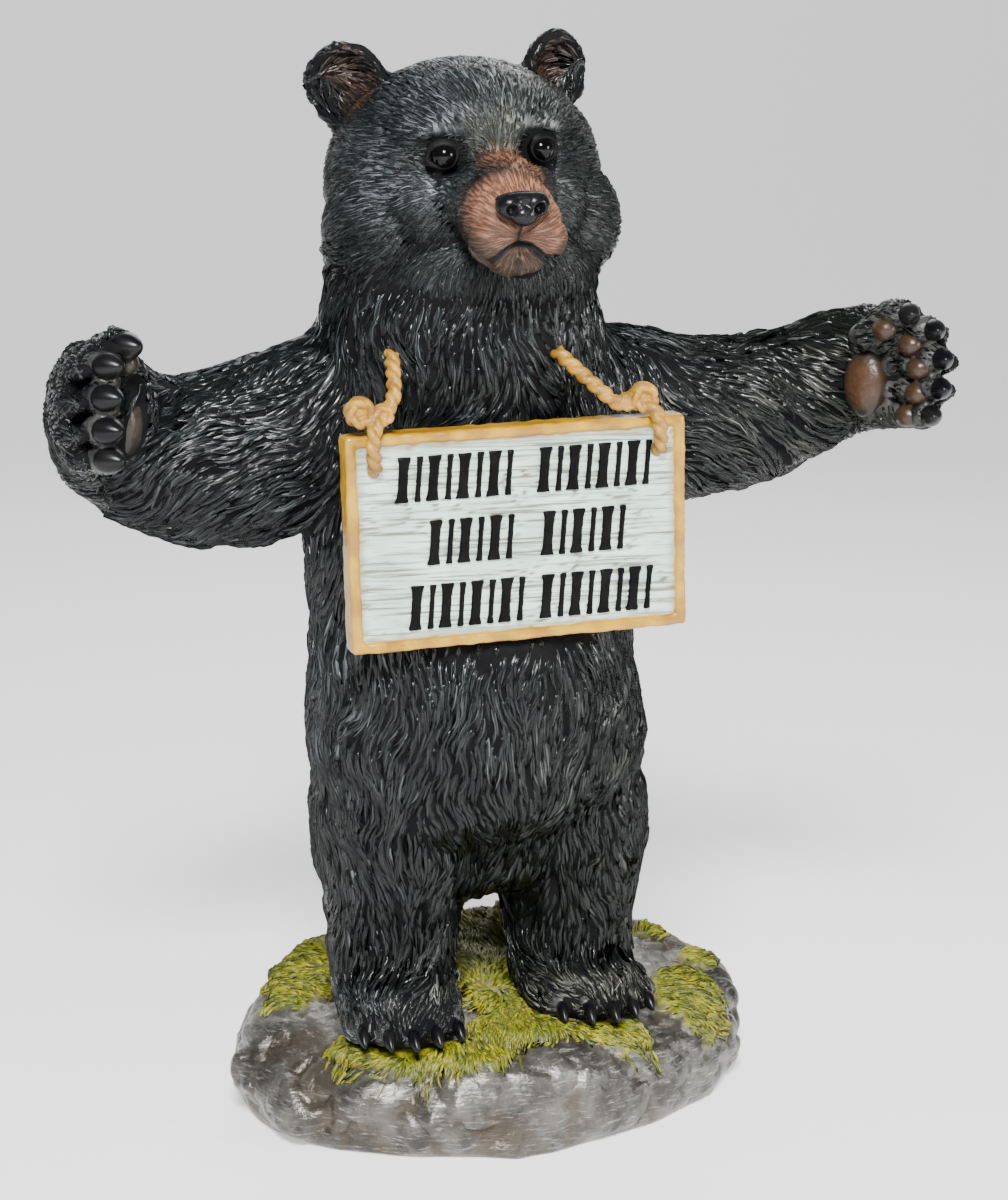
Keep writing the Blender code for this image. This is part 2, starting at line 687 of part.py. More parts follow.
def from_corner(point, side):
    """A point given from the sign's upper corner, in the sign's own frame and metres."""
    x, y, z = point[:3]
    return Vector((side * (SIGN_WIDTH / 2 - x * MM), y * MM, SIGN_HEIGHT / 2 + z * MM))


def smooth_path(points, step):
    """Points at about even steps along a curve through the given ones."""
    padded = [points[0] * 2 - points[1], *points, points[-1] * 2 - points[-2]]
    path = []
    for a, b, c, d in zip(padded, padded[1:], padded[2:], padded[3:]):
        count = max(int(round((c - b).length / step)), 1)
        for k in range(count):
            t = k / count
            path.append(0.5 * (2 * b + (c - a) * t + (2 * a - 5 * b + 4 * c - d) * t * t
                               + (3 * b - a - 3 * c + d) * t ** 3))
    return path + [points[-1]]


def add_tube(bm, path, radius, sides=10):
    axes = section_axes(path, Vector((0.2, 1, 0.1)))
    rings = [section(p, *axis, radius, radius, sides) for p, axis in zip(path, axes)]
    add_rings(bm, rings)


def add_twisted(bm, path):
    """Two strands wound about a path."""
    axes = section_axes(path, Vector((0.2, 1, 0.1)))
    radius = ROPE_DIAMETER / 2
    length = 0.0
    turned = []
    for i, point in enumerate(path):
        length += (point - path[i - 1]).length if i else 0.0
        turned.append(2 * math.pi * length / ROPE_LAY)
    for phase in (0, math.pi):
        strand = []
        for point, (side, rise), turn in zip(path, axes, turned):
            shift = side * math.cos(turn + phase) + rise * math.sin(turn + phase)
            strand.append(point + shift * radius * 0.42)
        add_tube(bm, strand, radius * 0.58)


def make_rope(name, side, runs, knots):
    bm = bmesh.new()
    for run in runs:
        add_twisted(bm, smooth_path([from_corner(p, side) for p in run], 0.7 * MM))
    for knot in knots:
        radius = KNOT_DIAMETER / 2 * knot[3]
        add_ball(bm, from_corner(knot, side), (radius * 0.9,) * 3, finer=2)
        for turn in range(KNOT_TURNS):
            angle = 2 * math.pi * turn / KNOT_TURNS
            shift = Vector((math.cos(angle), 0.55 * math.sin(2 * angle) - 0.35, math.sin(angle)))
            add_ball(bm, from_corner(knot, side) + shift * radius * 0.52, (radius * 0.5,) * 3, finer=2)
    rope = add_object(name, bm)
    remesh(rope, 0.28 * MM, smooth_steps=1)
    lighten(rope, ROPE_TRIANGLES)
    rope.matrix_world = sign_place()
    rope.data.materials.append(paint("ochre rope", (0.62, 0.40, 0.16), 0.55))
    return rope


def make_rope_seat(name, side, runs, knots):
    """The room that a rope needs, a little larger than the rope."""
    seats = []
    for k, run in enumerate(runs):
        path = smooth_path([from_corner(p, side) for p in run], 1.6 * MM)
        path.append(path[-1] * 2 - path[-2])
        tube = bmesh.new()
        add_tube(tube, path, ROPE_DIAMETER / 2 + GAP + ROPE_CLEARANCE, sides=12)
        seats.append(add_object("{} seat {}".format(name, k), tube))
    for k, knot in enumerate(knots):
        ball = bmesh.new()
        add_ball(ball, from_corner(knot, side), (KNOT_DIAMETER / 2 * knot[3] + GAP * 2,) * 3, finer=2)
        seats.append(add_object("{} knot seat {}".format(name, k), ball))
    for seat in seats:
        seat.matrix_world = sign_place()
    return seats


def main():
    clear_scene()
    bear = make_bear()
    make_base()
    rope_seats = []
    for name, side, runs, knots in ROPES:
        make_rope(name, side, runs, knots)
        rope_seats += make_rope_seat(name, side, runs, knots)
    make_sign(rope_seats)
    sign_seat = add_object("sign seat", sign_box(GAP))
    sign_seat.matrix_world = sign_place()
    for seat in [sign_seat, *rope_seats]:
        combine(bear, seat, "DIFFERENCE")


main()
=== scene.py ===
# %% [markdown]
# # A cast bear on a mossy rock
# The real figurine is one resin cast, painted by hand: a young bear with open arms, a rock, a small
# sign and a rope. It could be sculpted as a single mesh. Here every finish is a piece of its own,
# because fur, moss, wood and rope are each made in another way. The CAD frame gives their sizes and
# places, and stays as it is.

# %% Load the frame
import math

import bmesh
import bpy
import numpy as np
from mathutils import Euler, Matrix, Vector, noise
from mathutils.bvhtree import BVHTree
from mathutils.kdtree import KDTree


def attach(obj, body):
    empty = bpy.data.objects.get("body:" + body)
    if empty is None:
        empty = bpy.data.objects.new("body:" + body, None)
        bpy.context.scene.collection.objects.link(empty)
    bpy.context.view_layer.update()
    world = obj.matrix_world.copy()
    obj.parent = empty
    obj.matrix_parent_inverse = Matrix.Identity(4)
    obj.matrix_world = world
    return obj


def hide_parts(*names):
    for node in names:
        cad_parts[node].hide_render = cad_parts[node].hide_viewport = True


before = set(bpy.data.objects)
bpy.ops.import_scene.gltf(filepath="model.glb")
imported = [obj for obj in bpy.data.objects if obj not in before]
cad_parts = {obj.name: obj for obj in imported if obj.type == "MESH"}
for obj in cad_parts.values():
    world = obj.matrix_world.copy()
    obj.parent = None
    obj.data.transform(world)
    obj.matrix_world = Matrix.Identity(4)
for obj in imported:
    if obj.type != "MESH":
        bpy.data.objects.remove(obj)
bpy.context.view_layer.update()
MM = 0.001
print("nodes:", sorted(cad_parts))

# %% [markdown]
# ## Camera
# The figurine is seen from a little to its right hand's side and from ten degrees above. A camera
# could be moved by eye until the picture looks right. Here its place, turn and lens are numbers, so
# that proportions can be compared. The image is taller than wide, so the lens is measured along the
# image's height.

# %% Camera
IMAGE = (1008, 1200)
FOCAL_PIXELS = 2380
SENSOR = 36.0

deg = math.radians
camera = bpy.data.objects.new("camera", bpy.data.cameras.new("camera"))
bpy.context.scene.collection.objects.link(camera)
camera.location = (-0.1602, -0.5333, 0.2160)
camera.rotation_euler = (deg(80), 0, deg(-17))
camera.data.sensor_fit = "VERTICAL"
camera.data.sensor_height = SENSOR
camera.data.lens = FOCAL_PIXELS / IMAGE[1] * SENSOR
bpy.context.scene.camera = camera
print("lens:", round(camera.data.lens, 1), "mm")

# %% [markdown]
# ## Working by code as by hand
# Each new piece starts from a primitive and is shaped with operators, as in Blender's window. Points
# could also be typed in as lists, but an operator does what its menu entry says. It acts on all that
# is selected, so these helpers first clear the selection and then pick what the next step needs.


# %% Selecting, changing and joining
def deselect():
    if bpy.context.object and bpy.context.object.mode != "OBJECT":
        bpy.ops.object.mode_set(mode="OBJECT")
    bpy.ops.object.select_all(action="DESELECT")


def pick(*objects):
    """Selects only these objects, and makes the first one active."""
    deselect()
    for obj in objects:
        obj.select_set(True)
    bpy.context.view_layer.objects.active = objects[0]


def named(name):
    """Names the object that an operator has just added."""
    obj = bpy.context.object
    obj.name = obj.data.name = name
    return obj


def select_faces(obj, chosen):
    """Enters edit mode with only the faces selected that chosen(face) picks."""
    pick(obj)
    bpy.ops.object.mode_set(mode="EDIT")
    bpy.ops.mesh.select_mode(type="FACE")
    bpy.ops.mesh.select_all(action="DESELECT")
    mesh = bmesh.from_edit_mesh(obj.data)
    for face in mesh.faces:
        face.select_set(bool(chosen(face)))
    bmesh.update_edit_mesh(obj.data)


def modify(obj, kind, **settings):
    """Adds a modifier and applies it."""
    pick(obj)
    modifier = obj.modifiers.new(kind.lower(), kind)
    for key, value in settings.items():
        setattr(modifier, key, value)
    bpy.ops.object.modifier_apply(modifier=modifier.name)
    return obj


def bake_place(obj):
    """Puts the object's place into its mesh, so that the object itself is at the origin."""
    obj.data.transform(obj.matrix_world)
    obj.matrix_world = Matrix.Identity(4)
    return obj


def join(objects, name):
    pick(*objects)
    bpy.ops.object.join()
    return named(name)


print("selecting and joining: ready")

# %% [markdown]
# ## Shaping as in clay
# The cast was modelled in clay, from lumps that were pressed together. A form could be pulled out of
# one box instead, but round forms are easier to judge as balls. Remesh then fuses them into one even
# skin, and Smooth softens the seams between them.


# %% Balls and fusing
def ball(centre, radii, turn=None, finer=4):
    """An ellipsoid in metres, to be fused with others."""
    deselect()
    bpy.ops.mesh.primitive_ico_sphere_add(subdivisions=finer, radius=1.0)
    obj = bpy.context.object
    turn = turn.to_4x4() if turn else Matrix.Identity(4)
    obj.matrix_world = Matrix.Translation(centre) @ turn @ Matrix.Diagonal((*radii, 1.0))
    return bake_place(obj)


def fuse(obj, voxel, soften=0):
    """Makes one even skin of overlapping shells."""
    modify(obj, "REMESH", mode="VOXEL", voxel_size=voxel)
    if soften:
        modify(obj, "SMOOTH", factor=0.5, iterations=soften)
    return obj


print("balls and fusing: ready")

# %% [markdown]
# ## Points, paint and pieces
# Small dents and grain are too many to press in by hand. Sculpt mode could do it, but not from a
# script, so the points are read into one array, moved by a rule and written back. A finished piece
# gets its material and rides on the bear's one body.


# %% Points, paint and pieces
def read(mesh, attribute="co"):
    values = np.empty(len(mesh.vertices) * 3, np.float32)
    mesh.vertices.foreach_get(attribute, values)
    return values.reshape(-1, 3).astype(float)


def write(mesh, points):
    mesh.vertices.foreach_set("co", points.astype(np.float32).ravel())
    mesh.update()


def store(mesh, name, colours):
    """Keeps one colour per vertex on the mesh."""
    layer = mesh.color_attributes.new(name, "FLOAT_COLOR", "POINT")
    layer.data.foreach_set("color", np.clip(colours, 0, 1).astype(np.float32).ravel())


def shade_smooth(obj):
    obj.data.shade_smooth()
    return obj


def copy_of_node(node, name):
    """A merged copy of a CAD node. The node itself stays as it is."""
    obj = bpy.data.objects.new(name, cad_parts[node].data.copy())
    bpy.context.scene.collection.objects.link(obj)
    obj.data.materials.clear()
    pick(obj)
    bpy.ops.object.mode_set(mode="EDIT")
    bpy.ops.mesh.select_all(action="SELECT")
    bpy.ops.mesh.remove_doubles(threshold=0.00001)
    bpy.ops.object.mode_set(mode="OBJECT")
    return obj


def hand_over(obj, material, slot, *nodes):
    """Paints a piece, lets it ride on the one body, and hides the CAD nodes it stands for."""
    obj.data.materials.clear()
    obj.data.materials.append(material)
    shade_smooth(obj)
    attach(obj, "root")
    if nodes:
        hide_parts(*nodes)
    return obj


print("points and pieces: ready")

# %% [markdown]
# ## Soft edges and noise
# On a hand-made cast no edge is sharp and no surface is even. A hard limit would draw a line, so
# these three helpers say how far a point is inside a place, with a soft rim, and give smooth noise.


# %% Soft edges and noise
def smooth_step(low, high, value):
    t = np.clip((value - low) / (high - low), 0.0, 1.0)
    return t * t * (3 - 2 * t)


def near(points, centre, radii, soft=0.35):
    """1 inside an ellipsoid, and falling to 0 past its skin."""
    distance = np.linalg.norm((points - np.array(centre)) / np.array(radii), axis=1)
    return 1 - smooth_step(1 - soft, 1 + soft, distance)


def rough(points, scale, seed=0.0):
    """Smooth noise at each point, from about -1 to 1. scale is the size of its lumps."""
    shift = Vector((seed, seed * 0.7, -seed))
    return np.array([noise.noise(Vector(p) / scale + shift) for p in points])


print("half way up a soft step:", smooth_step(0, 1, 0.5))

# %% [markdown]
# ## Floor
# The figurine stands in a plain pale studio. A floor and a wall could meet in a corner, but its edge
# would show behind the bear. So one plane is extruded upwards at its back edge, and a bevel turns
# that corner into a sweep.

# %% Floor
FLOOR_SIZE = 6.0
WALL_HEIGHT = 4.0
SWEEP_RADIUS = 1.2

deselect()
bpy.ops.mesh.primitive_plane_add(size=FLOOR_SIZE, location=(0, 0, 0))
floor = named("floor")
bpy.ops.object.mode_set(mode="EDIT")
bpy.ops.mesh.select_mode(type="EDGE")
bpy.ops.mesh.select_all(action="DESELECT")
mesh = bmesh.from_edit_mesh(floor.data)
for edge in mesh.edges:
    edge.select_set(min(v.co.y for v in edge.verts) > 0.48 * FLOOR_SIZE)
bmesh.update_edit_mesh(floor.data)
bpy.ops.mesh.extrude_region_move(TRANSFORM_OT_translate={"value": (0, 0, WALL_HEIGHT)})
bpy.ops.object.mode_set(mode="OBJECT")
modify(floor, "BEVEL", width=SWEEP_RADIUS, segments=16, limit_method="ANGLE")
shade_smooth(floor)
floor_paint = bpy.data.materials.new("pale floor")
floor_paint.use_nodes = True
shader = floor_paint.node_tree.nodes["Principled BSDF"]
shader.inputs["Base Color"].default_value = (0.9, 0.9, 0.9, 1)
shader.inputs["Roughness"].default_value = 0.8
shader.inputs["Emission Color"].default_value = (1, 1, 1, 1)
shader.inputs["Emission Strength"].default_value = 0.6
floor.data.materials.append(floor_paint)
print("floor faces:", len(floor.data.polygons))

# %% [markdown]
# ## Light
# Glossy resin shows each lamp as a highlight on every strand. One large lamp would wash the relief
# out. So a small strong key light in front and above models the fur, a weak one opens the shadows
# on the right, and one from behind draws the edges. The world adds a little light from all sides.


# %% Light
def add_light(name, place, target, size, power, colour=(1, 1, 1)):
    light = bpy.data.objects.new(name, bpy.data.lights.new(name, "AREA"))
    light.data.size = size
    light.data.energy = power
    light.data.color = colour
    light.location = place
    aim = Vector(target) - Vector(place)
    light.rotation_euler = aim.to_track_quat("-Z", "Y").to_euler()
    bpy.context.scene.collection.objects.link(light)


CHEST = (-0.01, -0.02, 0.14)
add_light("key", (-0.30, -0.95, 0.85), CHEST, 0.28, 41)
add_light("fill", (0.85, -0.75, 0.35), CHEST, 0.30, 9)
add_light("back", (0.25, 0.75, 0.75), CHEST, 0.5, 2.5)
WORLD_COLOUR = (0.95, 0.97, 1.0, 1)
WORLD_STRENGTH = 0.16
world = bpy.data.worlds.new("studio")
world.use_nodes = True
background = world.node_tree.nodes["Background"]
background.inputs["Color"].default_value = WORLD_COLOUR
background.inputs["Strength"].default_value = WORLD_STRENGTH
bpy.context.scene.world = world

# %% [markdown]
# ## Nodes for paint
# Paint could be an image, but it would blur from near and need an unwrapped mesh. A material here is
# a small graph of nodes instead, which is sharp at every distance. These helpers add one node each
# and link it, so that the graphs below read like sentences.


# %% Nodes for paint
def add(tree, kind, inputs=(), **settings):
    """Adds a shader node. Its inputs are numbers, colours or other nodes' outputs."""
    node = tree.nodes.new("ShaderNode" + kind)
    for key, value in settings.items():
        setattr(node, key, value)
    for key, value in dict(inputs).items():
        if isinstance(value, bpy.types.NodeSocket):
            tree.links.new(value, node.inputs[key])
        else:
            node.inputs[key].default_value = value
    return node


def start_material(name, roughness, coat=0.0, coat_roughness=0.1, specular=0.5):
    material = bpy.data.materials.new(name)
    material.use_nodes = True
    shader = material.node_tree.nodes["Principled BSDF"]
    shader.inputs["Roughness"].default_value = roughness
    shader.inputs["Specular IOR Level"].default_value = specular
    shader.inputs["Coat Weight"].default_value = coat
    shader.inputs["Coat Roughness"].default_value = coat_roughness
    return material, material.node_tree, shader


def mix(tree, factor, low, high):
    """A colour between two others."""
    node = add(tree, "Mix", data_type="RGBA")
    for socket, value in ((node.inputs[0], factor), (node.inputs[6], low), (node.inputs[7], high)):
        if isinstance(value, bpy.types.NodeSocket):
            tree.links.new(value, socket)
        elif isinstance(value, tuple):
            socket.default_value = (*value, 1.0)
        else:
            socket.default_value = value
    return node.outputs[2]


def maths(tree, operation, first, second=0.5, clamp=False):
    node = add(tree, "Math", operation=operation, use_clamp=clamp)
    for socket, value in zip(node.inputs, (first, second)):
        if isinstance(value, bpy.types.NodeSocket):
            tree.links.new(value, socket)
        else:
            socket.default_value = value
    return node.outputs[0]


print("node helpers: add, start_material, mix, maths")

# %% [markdown]
# ## Patterns for paint
# Brushed resin is never one even colour: it has clouds, streaks and bare crests. An image of such
# spots would repeat, and noise does not. These helpers stretch noise to the wanted strength, read
# the layer named paint, and turn a pattern into small bumps.


# %% Patterns for paint
def scaled(tree, value, times, plus):
    """The value times one number plus another."""
    result = maths(tree, "MULTIPLY_ADD", value, times)
    result.node.inputs[2].default_value = plus
    return result


def ramp(tree, value, low, high):
    """Stretches a value so that low becomes 0 and high becomes 1."""
    node = add(tree, "MapRange", {"Value": value, "From Min": low, "From Max": high})
    node.interpolation_type = "SMOOTHSTEP"
    return node.outputs["Result"]


def cloud(tree, vector, scale, detail=2.0, roughness=0.5):
    values = {"Vector": vector, "Scale": scale, "Detail": detail, "Roughness": roughness}
    return add(tree, "TexNoise", values).outputs["Fac"]


def paint_layer(tree):
    """Red, Green and Blue of the vertex colours named paint."""
    layer = add(tree, "VertexColor", layer_name="paint").outputs["Color"]
    return add(tree, "SeparateColor", {"Color": layer}).outputs


def bump(tree, shader, height, distance, strength=1.0):
    node = add(tree, "Bump", {"Height": height, "Distance": distance, "Strength": strength})
    tree.links.new(node.outputs["Normal"], shader.inputs["Normal"])


def object_place(tree):
    return add(tree, "TexCoord").outputs["Object"]


print("pattern helpers: scaled, ramp, paint_layer, cloud, bump, object_place")

# %% [markdown]
# ## Fur and skin paint
# The cast is black, with grey dragged over its raised strands by a dry brush and terracotta on the
# muzzle. One grey for the whole fur would look like plastic. So ridges run along each lock, and only
# their crests take the grey. The layer named paint says where the brush went and where light and
# shade are painted: red is the drybrush, with less on the legs and the throat as painted shade, green
# the terracotta and brown, paler at the muzzle's top as painted light, and blue an olive tint, the
# chin's own colour and elsewhere painted shade, cool where the painted light falls.


# %% Fur and skin paint
def strand_height(tree, across, along):
    """Ridges that run along a lock, from its own UV map."""
    uv = add(tree, "UVMap", uv_map="lock").outputs["UV"]
    scale = (across, along, 1.0)
    stretched = add(tree, "Mapping", {"Vector": uv, "Scale": scale}).outputs["Vector"]
    fine = cloud(tree, stretched, 1.0, detail=2.0, roughness=0.5)
    return ramp(tree, fine, 0.36, 0.62)


def fur_material(name, across, along, depth, roughness=0.34, coat=0.12, patchy=(0.35, 0.7)):
    """Black resin fur, brushed grey and terracotta, with painted shade in olive and painted light in
    blue.
    """
    material, tree, shader = start_material(name, roughness, coat, 0.16, specular=0.28)
    height = strand_height(tree, across, along)
    brush = paint_layer(tree)
    place = object_place(tree)
    patch = ramp(tree, cloud(tree, place, 110.0, 3.0), *patchy)
    crest = ramp(tree, height, 0.45, 0.95)
    dry = maths(tree, "MULTIPLY", maths(tree, "MULTIPLY", crest, brush["Red"]), patch)
    lit = maths(tree, "ADD", dry, maths(tree, "MULTIPLY", brush["Red"], 0.05), clamp=True)
    # Blue of the paint layer turns the colours from the cool tint of painted light to the olive of
    # painted shade.
    base = mix(tree, brush["Blue"], (0.0028, 0.0046, 0.005), (0.003, 0.005, 0.0036))
    grey = mix(tree, brush["Blue"], (0.195, 0.222, 0.235), (0.215, 0.21, 0.17))
    colour = mix(tree, lit, base, grey)
    warm = mix(tree, height, (0.080, 0.036, 0.020), (0.26, 0.120, 0.070))
    colour = mix(tree, brush["Green"], colour, warm)
    tree.links.new(colour, shader.inputs["Base Color"])
    bump(tree, shader, height, depth)
    return material


def skin_material(name, colour_low, colour_high, roughness, scale=700.0, depth=0.00008, specular=0.3):
    """Smooth painted resin with faint mottling. scale and depth are those of its fine bumps."""
    material, tree, shader = start_material(name, roughness, specular=specular)
    place = object_place(tree)
    blotch = ramp(tree, cloud(tree, place, 180.0, 3.0), 0.35, 0.65)
    tree.links.new(mix(tree, blotch, colour_low, colour_high), shader.inputs["Base Color"])
    bump(tree, shader, cloud(tree, place, scale, 2.0), depth)
    return material


coat_paint = fur_material("fur coat", 6.0, 0.5, 0.0010, roughness=0.27, coat=0.25)
head_paint = fur_material("short fur", 4.4, 0.5, 0.0006, roughness=0.36, patchy=(0.1, 0.62))
under_paint = skin_material("under the fur", (0.003, 0.003, 0.004), (0.006, 0.006, 0.006), 0.9,
                            specular=0.08)
eye_paint = skin_material("eye", (0.001, 0.001, 0.001), (0.002, 0.002, 0.002), 0.12,
                          scale=200.0, depth=0.0, specular=0.2)
lid_paint = skin_material("lid", (0.001, 0.001, 0.001), (0.003, 0.003, 0.003), 0.6, specular=0.12)
claw_paint = skin_material("claw", (0.002, 0.002, 0.003), (0.006, 0.006, 0.006), 0.3,
                           scale=400.0, depth=0.00004, specular=0.2)
digit_paint = skin_material("digit", (0.006, 0.006, 0.007), (0.045, 0.045, 0.042), 0.38,
                            scale=900.0, depth=0.0005)
print("paints for fur and skin:", len(bpy.data.materials) - 1)

# %% [markdown]
# ## The paint of the pads
# The pads of the palms are brown like worn leather, and dark at their rims where black paint was
# left. A dark ring could be modelled, but it has no height of its own, so it is only painted.


# %% The paint of the pads
def pad_material(name, centre_colour):
    """Brown leathery skin whose rim is dark. Red of the paint layer says how near the centre is."""
    material, tree, shader = start_material(name, 0.36, specular=0.35)
    mottle = ramp(tree, cloud(tree, object_place(tree), 420.0, 3.0), 0.25, 0.75)
    share = maths(tree, "MULTIPLY", paint_layer(tree)["Red"], scaled(tree, mottle, 0.45, 0.5))
    colour = mix(tree, share, (0.007, 0.007, 0.006), centre_colour)
    tree.links.new(colour, shader.inputs["Base Color"])
    bump(tree, shader, mottle, 0.00012)
    return material


pad_paint = pad_material("pad", (0.060, 0.029, 0.013))
worn_pad_paint = pad_material("worn pad", (0.044, 0.034, 0.025))
print("materials:", len(bpy.data.materials))

# %% [markdown]
# ## The skin under the fur
# Under its locks the cast is one smooth body. It could be built again from balls, but its solid has
# the true outline already, with broad locks carved into it. A merged copy is fused into fine even
# faces and softened until only the smooth body is left. Its head is sunk, because the head that
# comes next has to lie outside it.

# %% Skin
SOLES = np.array((-9.0, -16.2, 23.5))  # the point between the feet, in millimetres
HEAD = np.array((-4.0, -8.0, 192.0))  # the middle of the head, from the soles
HEAD_ROLL = -3.6  # its tilt to one side, in degrees
HEAD_SUNK = 0.9
MUZZLE_SUNK = 2.4
MUZZLE_LOWERED = 2.6

skin = copy_of_node("bear", "bear_skin")
fuse(skin, 0.95 * MM, soften=16)
points = read(skin.data) / MM - SOLES - HEAD
muzzle = near(points, (0, -36, -3), (16, 17, 15), soft=0.25)
sunk = HEAD_SUNK * near(points, (0, -14, -2), (34, 34, 30), soft=0.2) + MUZZLE_SUNK * muzzle
lowered = np.outer(MUZZLE_LOWERED * muzzle, (0, -1, 1))
write(skin.data, read(skin.data) - (read(skin.data, "normal") * sunk[:, None] + lowered) * MM)
hand_over(skin, under_paint, "black fur", "bear")
print("skin faces:", len(skin.data.polygons))

# %% [markdown]
# ## Head
# The bear has a round head, full cheeks, heavy brows and a short muzzle with a downturned mouth. A
# head could be extruded from one box, ring by ring. Balls are used, because each stands for one form:
# skull, cheek, brow or lip. They are given in the head's own frame, in millimetres: x to the right,
# y backwards and z up from its middle. MOUTH and PHILTRUM are lines on the muzzle, as x and z.

# %% The head's balls and the lines of its face
HEAD_BALLS = (
    ((0, 3, 1), (30.5, 27, 26)),
    ((0, -7, 9), (22, 18, 16)),
    ((-19.5, -2, -9), (13.5, 16, 14)),
    ((19.5, -2, -9), (13.5, 16, 14)),
    ((0, -7, -19), (25, 19, 14)),
    ((-12, -14, -5), (10, 9.5, 10)),
    ((12, -14, -5), (10, 9.5, 10)),
    ((-9.5, -17, 12), (7, 6, 4)),
    ((9.5, -17, 12), (7, 6, 4)),
    ((0, -15, 0), (12, 12, 12)),
    ((-0.4, -24, -4.0), (10.8, 11, 10.6)),
    ((-0.6, -28, -2.6), (8.0, 9.5, 7.6)),
    ((-6.2, -22, -2.5), (7.0, 10, 7.6)),
    ((5.4, -22, -2.5), (7.0, 10, 7.6)),
    ((-0.8, -31, -6.8), (10.5, 9, 9.4)),
    ((-1.0, -35, -8.2), (10.6, 7.2, 8.2)),
    ((-6.0, -38.6, -11.2), (5.7, 5.0, 4.7)),
    ((4.0, -38.6, -11.4), (5.5, 5.0, 4.7)),
    ((-1.2, -37.2, -15.9), (6.2, 4.6, 3.0)),
)
EYES = ((-11.4, -23.2, 6.3), (9.8, -23.2, 6.5))
EYE_RADIUS = 2.85
NOSE = (-1.0, -43.0, -5.0)
MOUTH = ((-7.8, -15.2), (-6.6, -14.7), (-4.0, -13.0), (-1.9, -12.3),
         (0.2, -12.9), (2.8, -15.1), (4.6, -15.9), (6.8, -15.7))
PHILTRUM = ((-1.4, -8.0), (-1.6, -10.0), (-1.8, -12.3))
print("balls in the head:", len(HEAD_BALLS))

# %% [markdown]
# ## Pressing in the face
# Sockets, brows, the mouth and the groove under the nose are shallow marks of a modelling tool. A
# Boolean would cut them with hard edges. So the points of the fused head are moved along their
# normals, most in the middle of a mark and less towards its rim.

# %% Pressing in the face
SOCKET_DEPTH = 1.7
BROW_HEIGHT = 1.3
CHEEK_HEIGHT = 0.5
MOUTH_DEPTH = 1.3
PHILTRUM_DEPTH = 0.4


def head_place():
    centre = Vector((SOLES + HEAD) * MM)
    turn = Matrix.Rotation(deg(HEAD_ROLL), 4, "Y")
    return Matrix.Translation(centre) @ turn @ Matrix.Scale(MM, 4)


def along_path(path, xz):
    """Distance of each point from a path, seen from the front."""
    best = np.full(len(xz), 99.0)
    path = np.array(path, float)
    for a, b in zip(path, path[1:]):
        t = np.clip(((xz - a) @ (b - a)) / ((b - a) @ (b - a)), 0, 1)
        best = np.minimum(best, np.linalg.norm(xz - a - t[:, None] * (b - a), axis=1))
    return best


head = join([ball(Vector(c), r) for c, r in HEAD_BALLS], "head_skin")
fuse(head, 0.56, soften=4)
points = read(head.data)
normals = read(head.data, "normal")
moved = np.zeros(len(points))
for eye in EYES:
    moved -= SOCKET_DEPTH * near(points, eye, (4.6, 6.0, 3.9), 0.5)
    side = math.copysign(1, eye[0])
    brow = (eye[0] + side * 0.6, eye[1] + 1, eye[2] + 4.9)
    moved += BROW_HEIGHT * near(points, brow, (5.5, 6, 2.0), 0.6)
    cheek = (eye[0] + side * 0.8, eye[1] + 1, eye[2] - 4.8)
    moved += CHEEK_HEIGHT * near(points, cheek, (5.0, 6, 1.8), 0.6)
front = points[:, 1] < -28
mouth = np.where(front, along_path(MOUTH, points[:, [0, 2]]), 99)
philtrum = np.where(front, along_path(PHILTRUM, points[:, [0, 2]]), 99)
corner_fades = smooth_step(-8.4, -5.5, points[:, 0])
moved -= MOUTH_DEPTH * (1 - smooth_step(0.1, 1.1, mouth)) * corner_fades
moved -= PHILTRUM_DEPTH * (1 - smooth_step(0.1, 0.8, philtrum))
moved += 0.16 * rough(points, 1.6) + 0.22 * rough(points, 4.0, 5.0)
write(head.data, points + normals * moved[:, None])
modify(head, "SMOOTH", factor=0.5, iterations=1)
print("head faces:", len(head.data.polygons))

# %% [markdown]
# ## Where the brush went, and painted light and shade
# On the cast the grey is strongest on the crown, the brows and the feet. Less grey on the legs and
# the throat is painted shade, the paler top of the muzzle and the paler bridge are painted light from
# above, and an olive tint is painted shade away from the key light, cool where it falls. Each place
# could be painted by hand in Vertex Paint. One function says it here instead, because it colours the
# head's skin and every lock of fur alike.

# %% Where the brush went, and painted light and shade
PALE_TUFTS = (  # middle and half sizes in the head's frame, and how pale
    ((-13.5, -23, 12.5), (6.0, 6, 2.2), 0.9),
    ((-7.5, -23, 14.5), (3.0, 6, 3.4), 0.8),
    ((12.5, -23, 12.0), (3.4, 6, 2.0), 0.9),
    ((3.5, -24, 13.5), (3.0, 6, 3.0), 1.0),
    ((-1.0, -24, 12.0), (3.6, 6, 3.4), 0.7),
    ((-15.5, -20, 0.0), (5.6, 8, 2.6), 0.9),
    ((-13.0, -24, -4.0), (5.0, 8, 3.0), 0.5),
    ((13.5, -21, -1.5), (4.5, 8, 2.6), 0.45),
    ((-24, -12, 4), (5.0, 9, 10.0), 0.55),
)
EARS = ((-24.3, 2.5, 22.5), (24.3, 2.5, 22.5))


def in_face(points):
    """Points given in metres, in the head's own frame."""
    turn = np.array(Matrix.Rotation(deg(-HEAD_ROLL), 3, "Y"))
    return (points / MM - SOLES - HEAD) @ turn.T


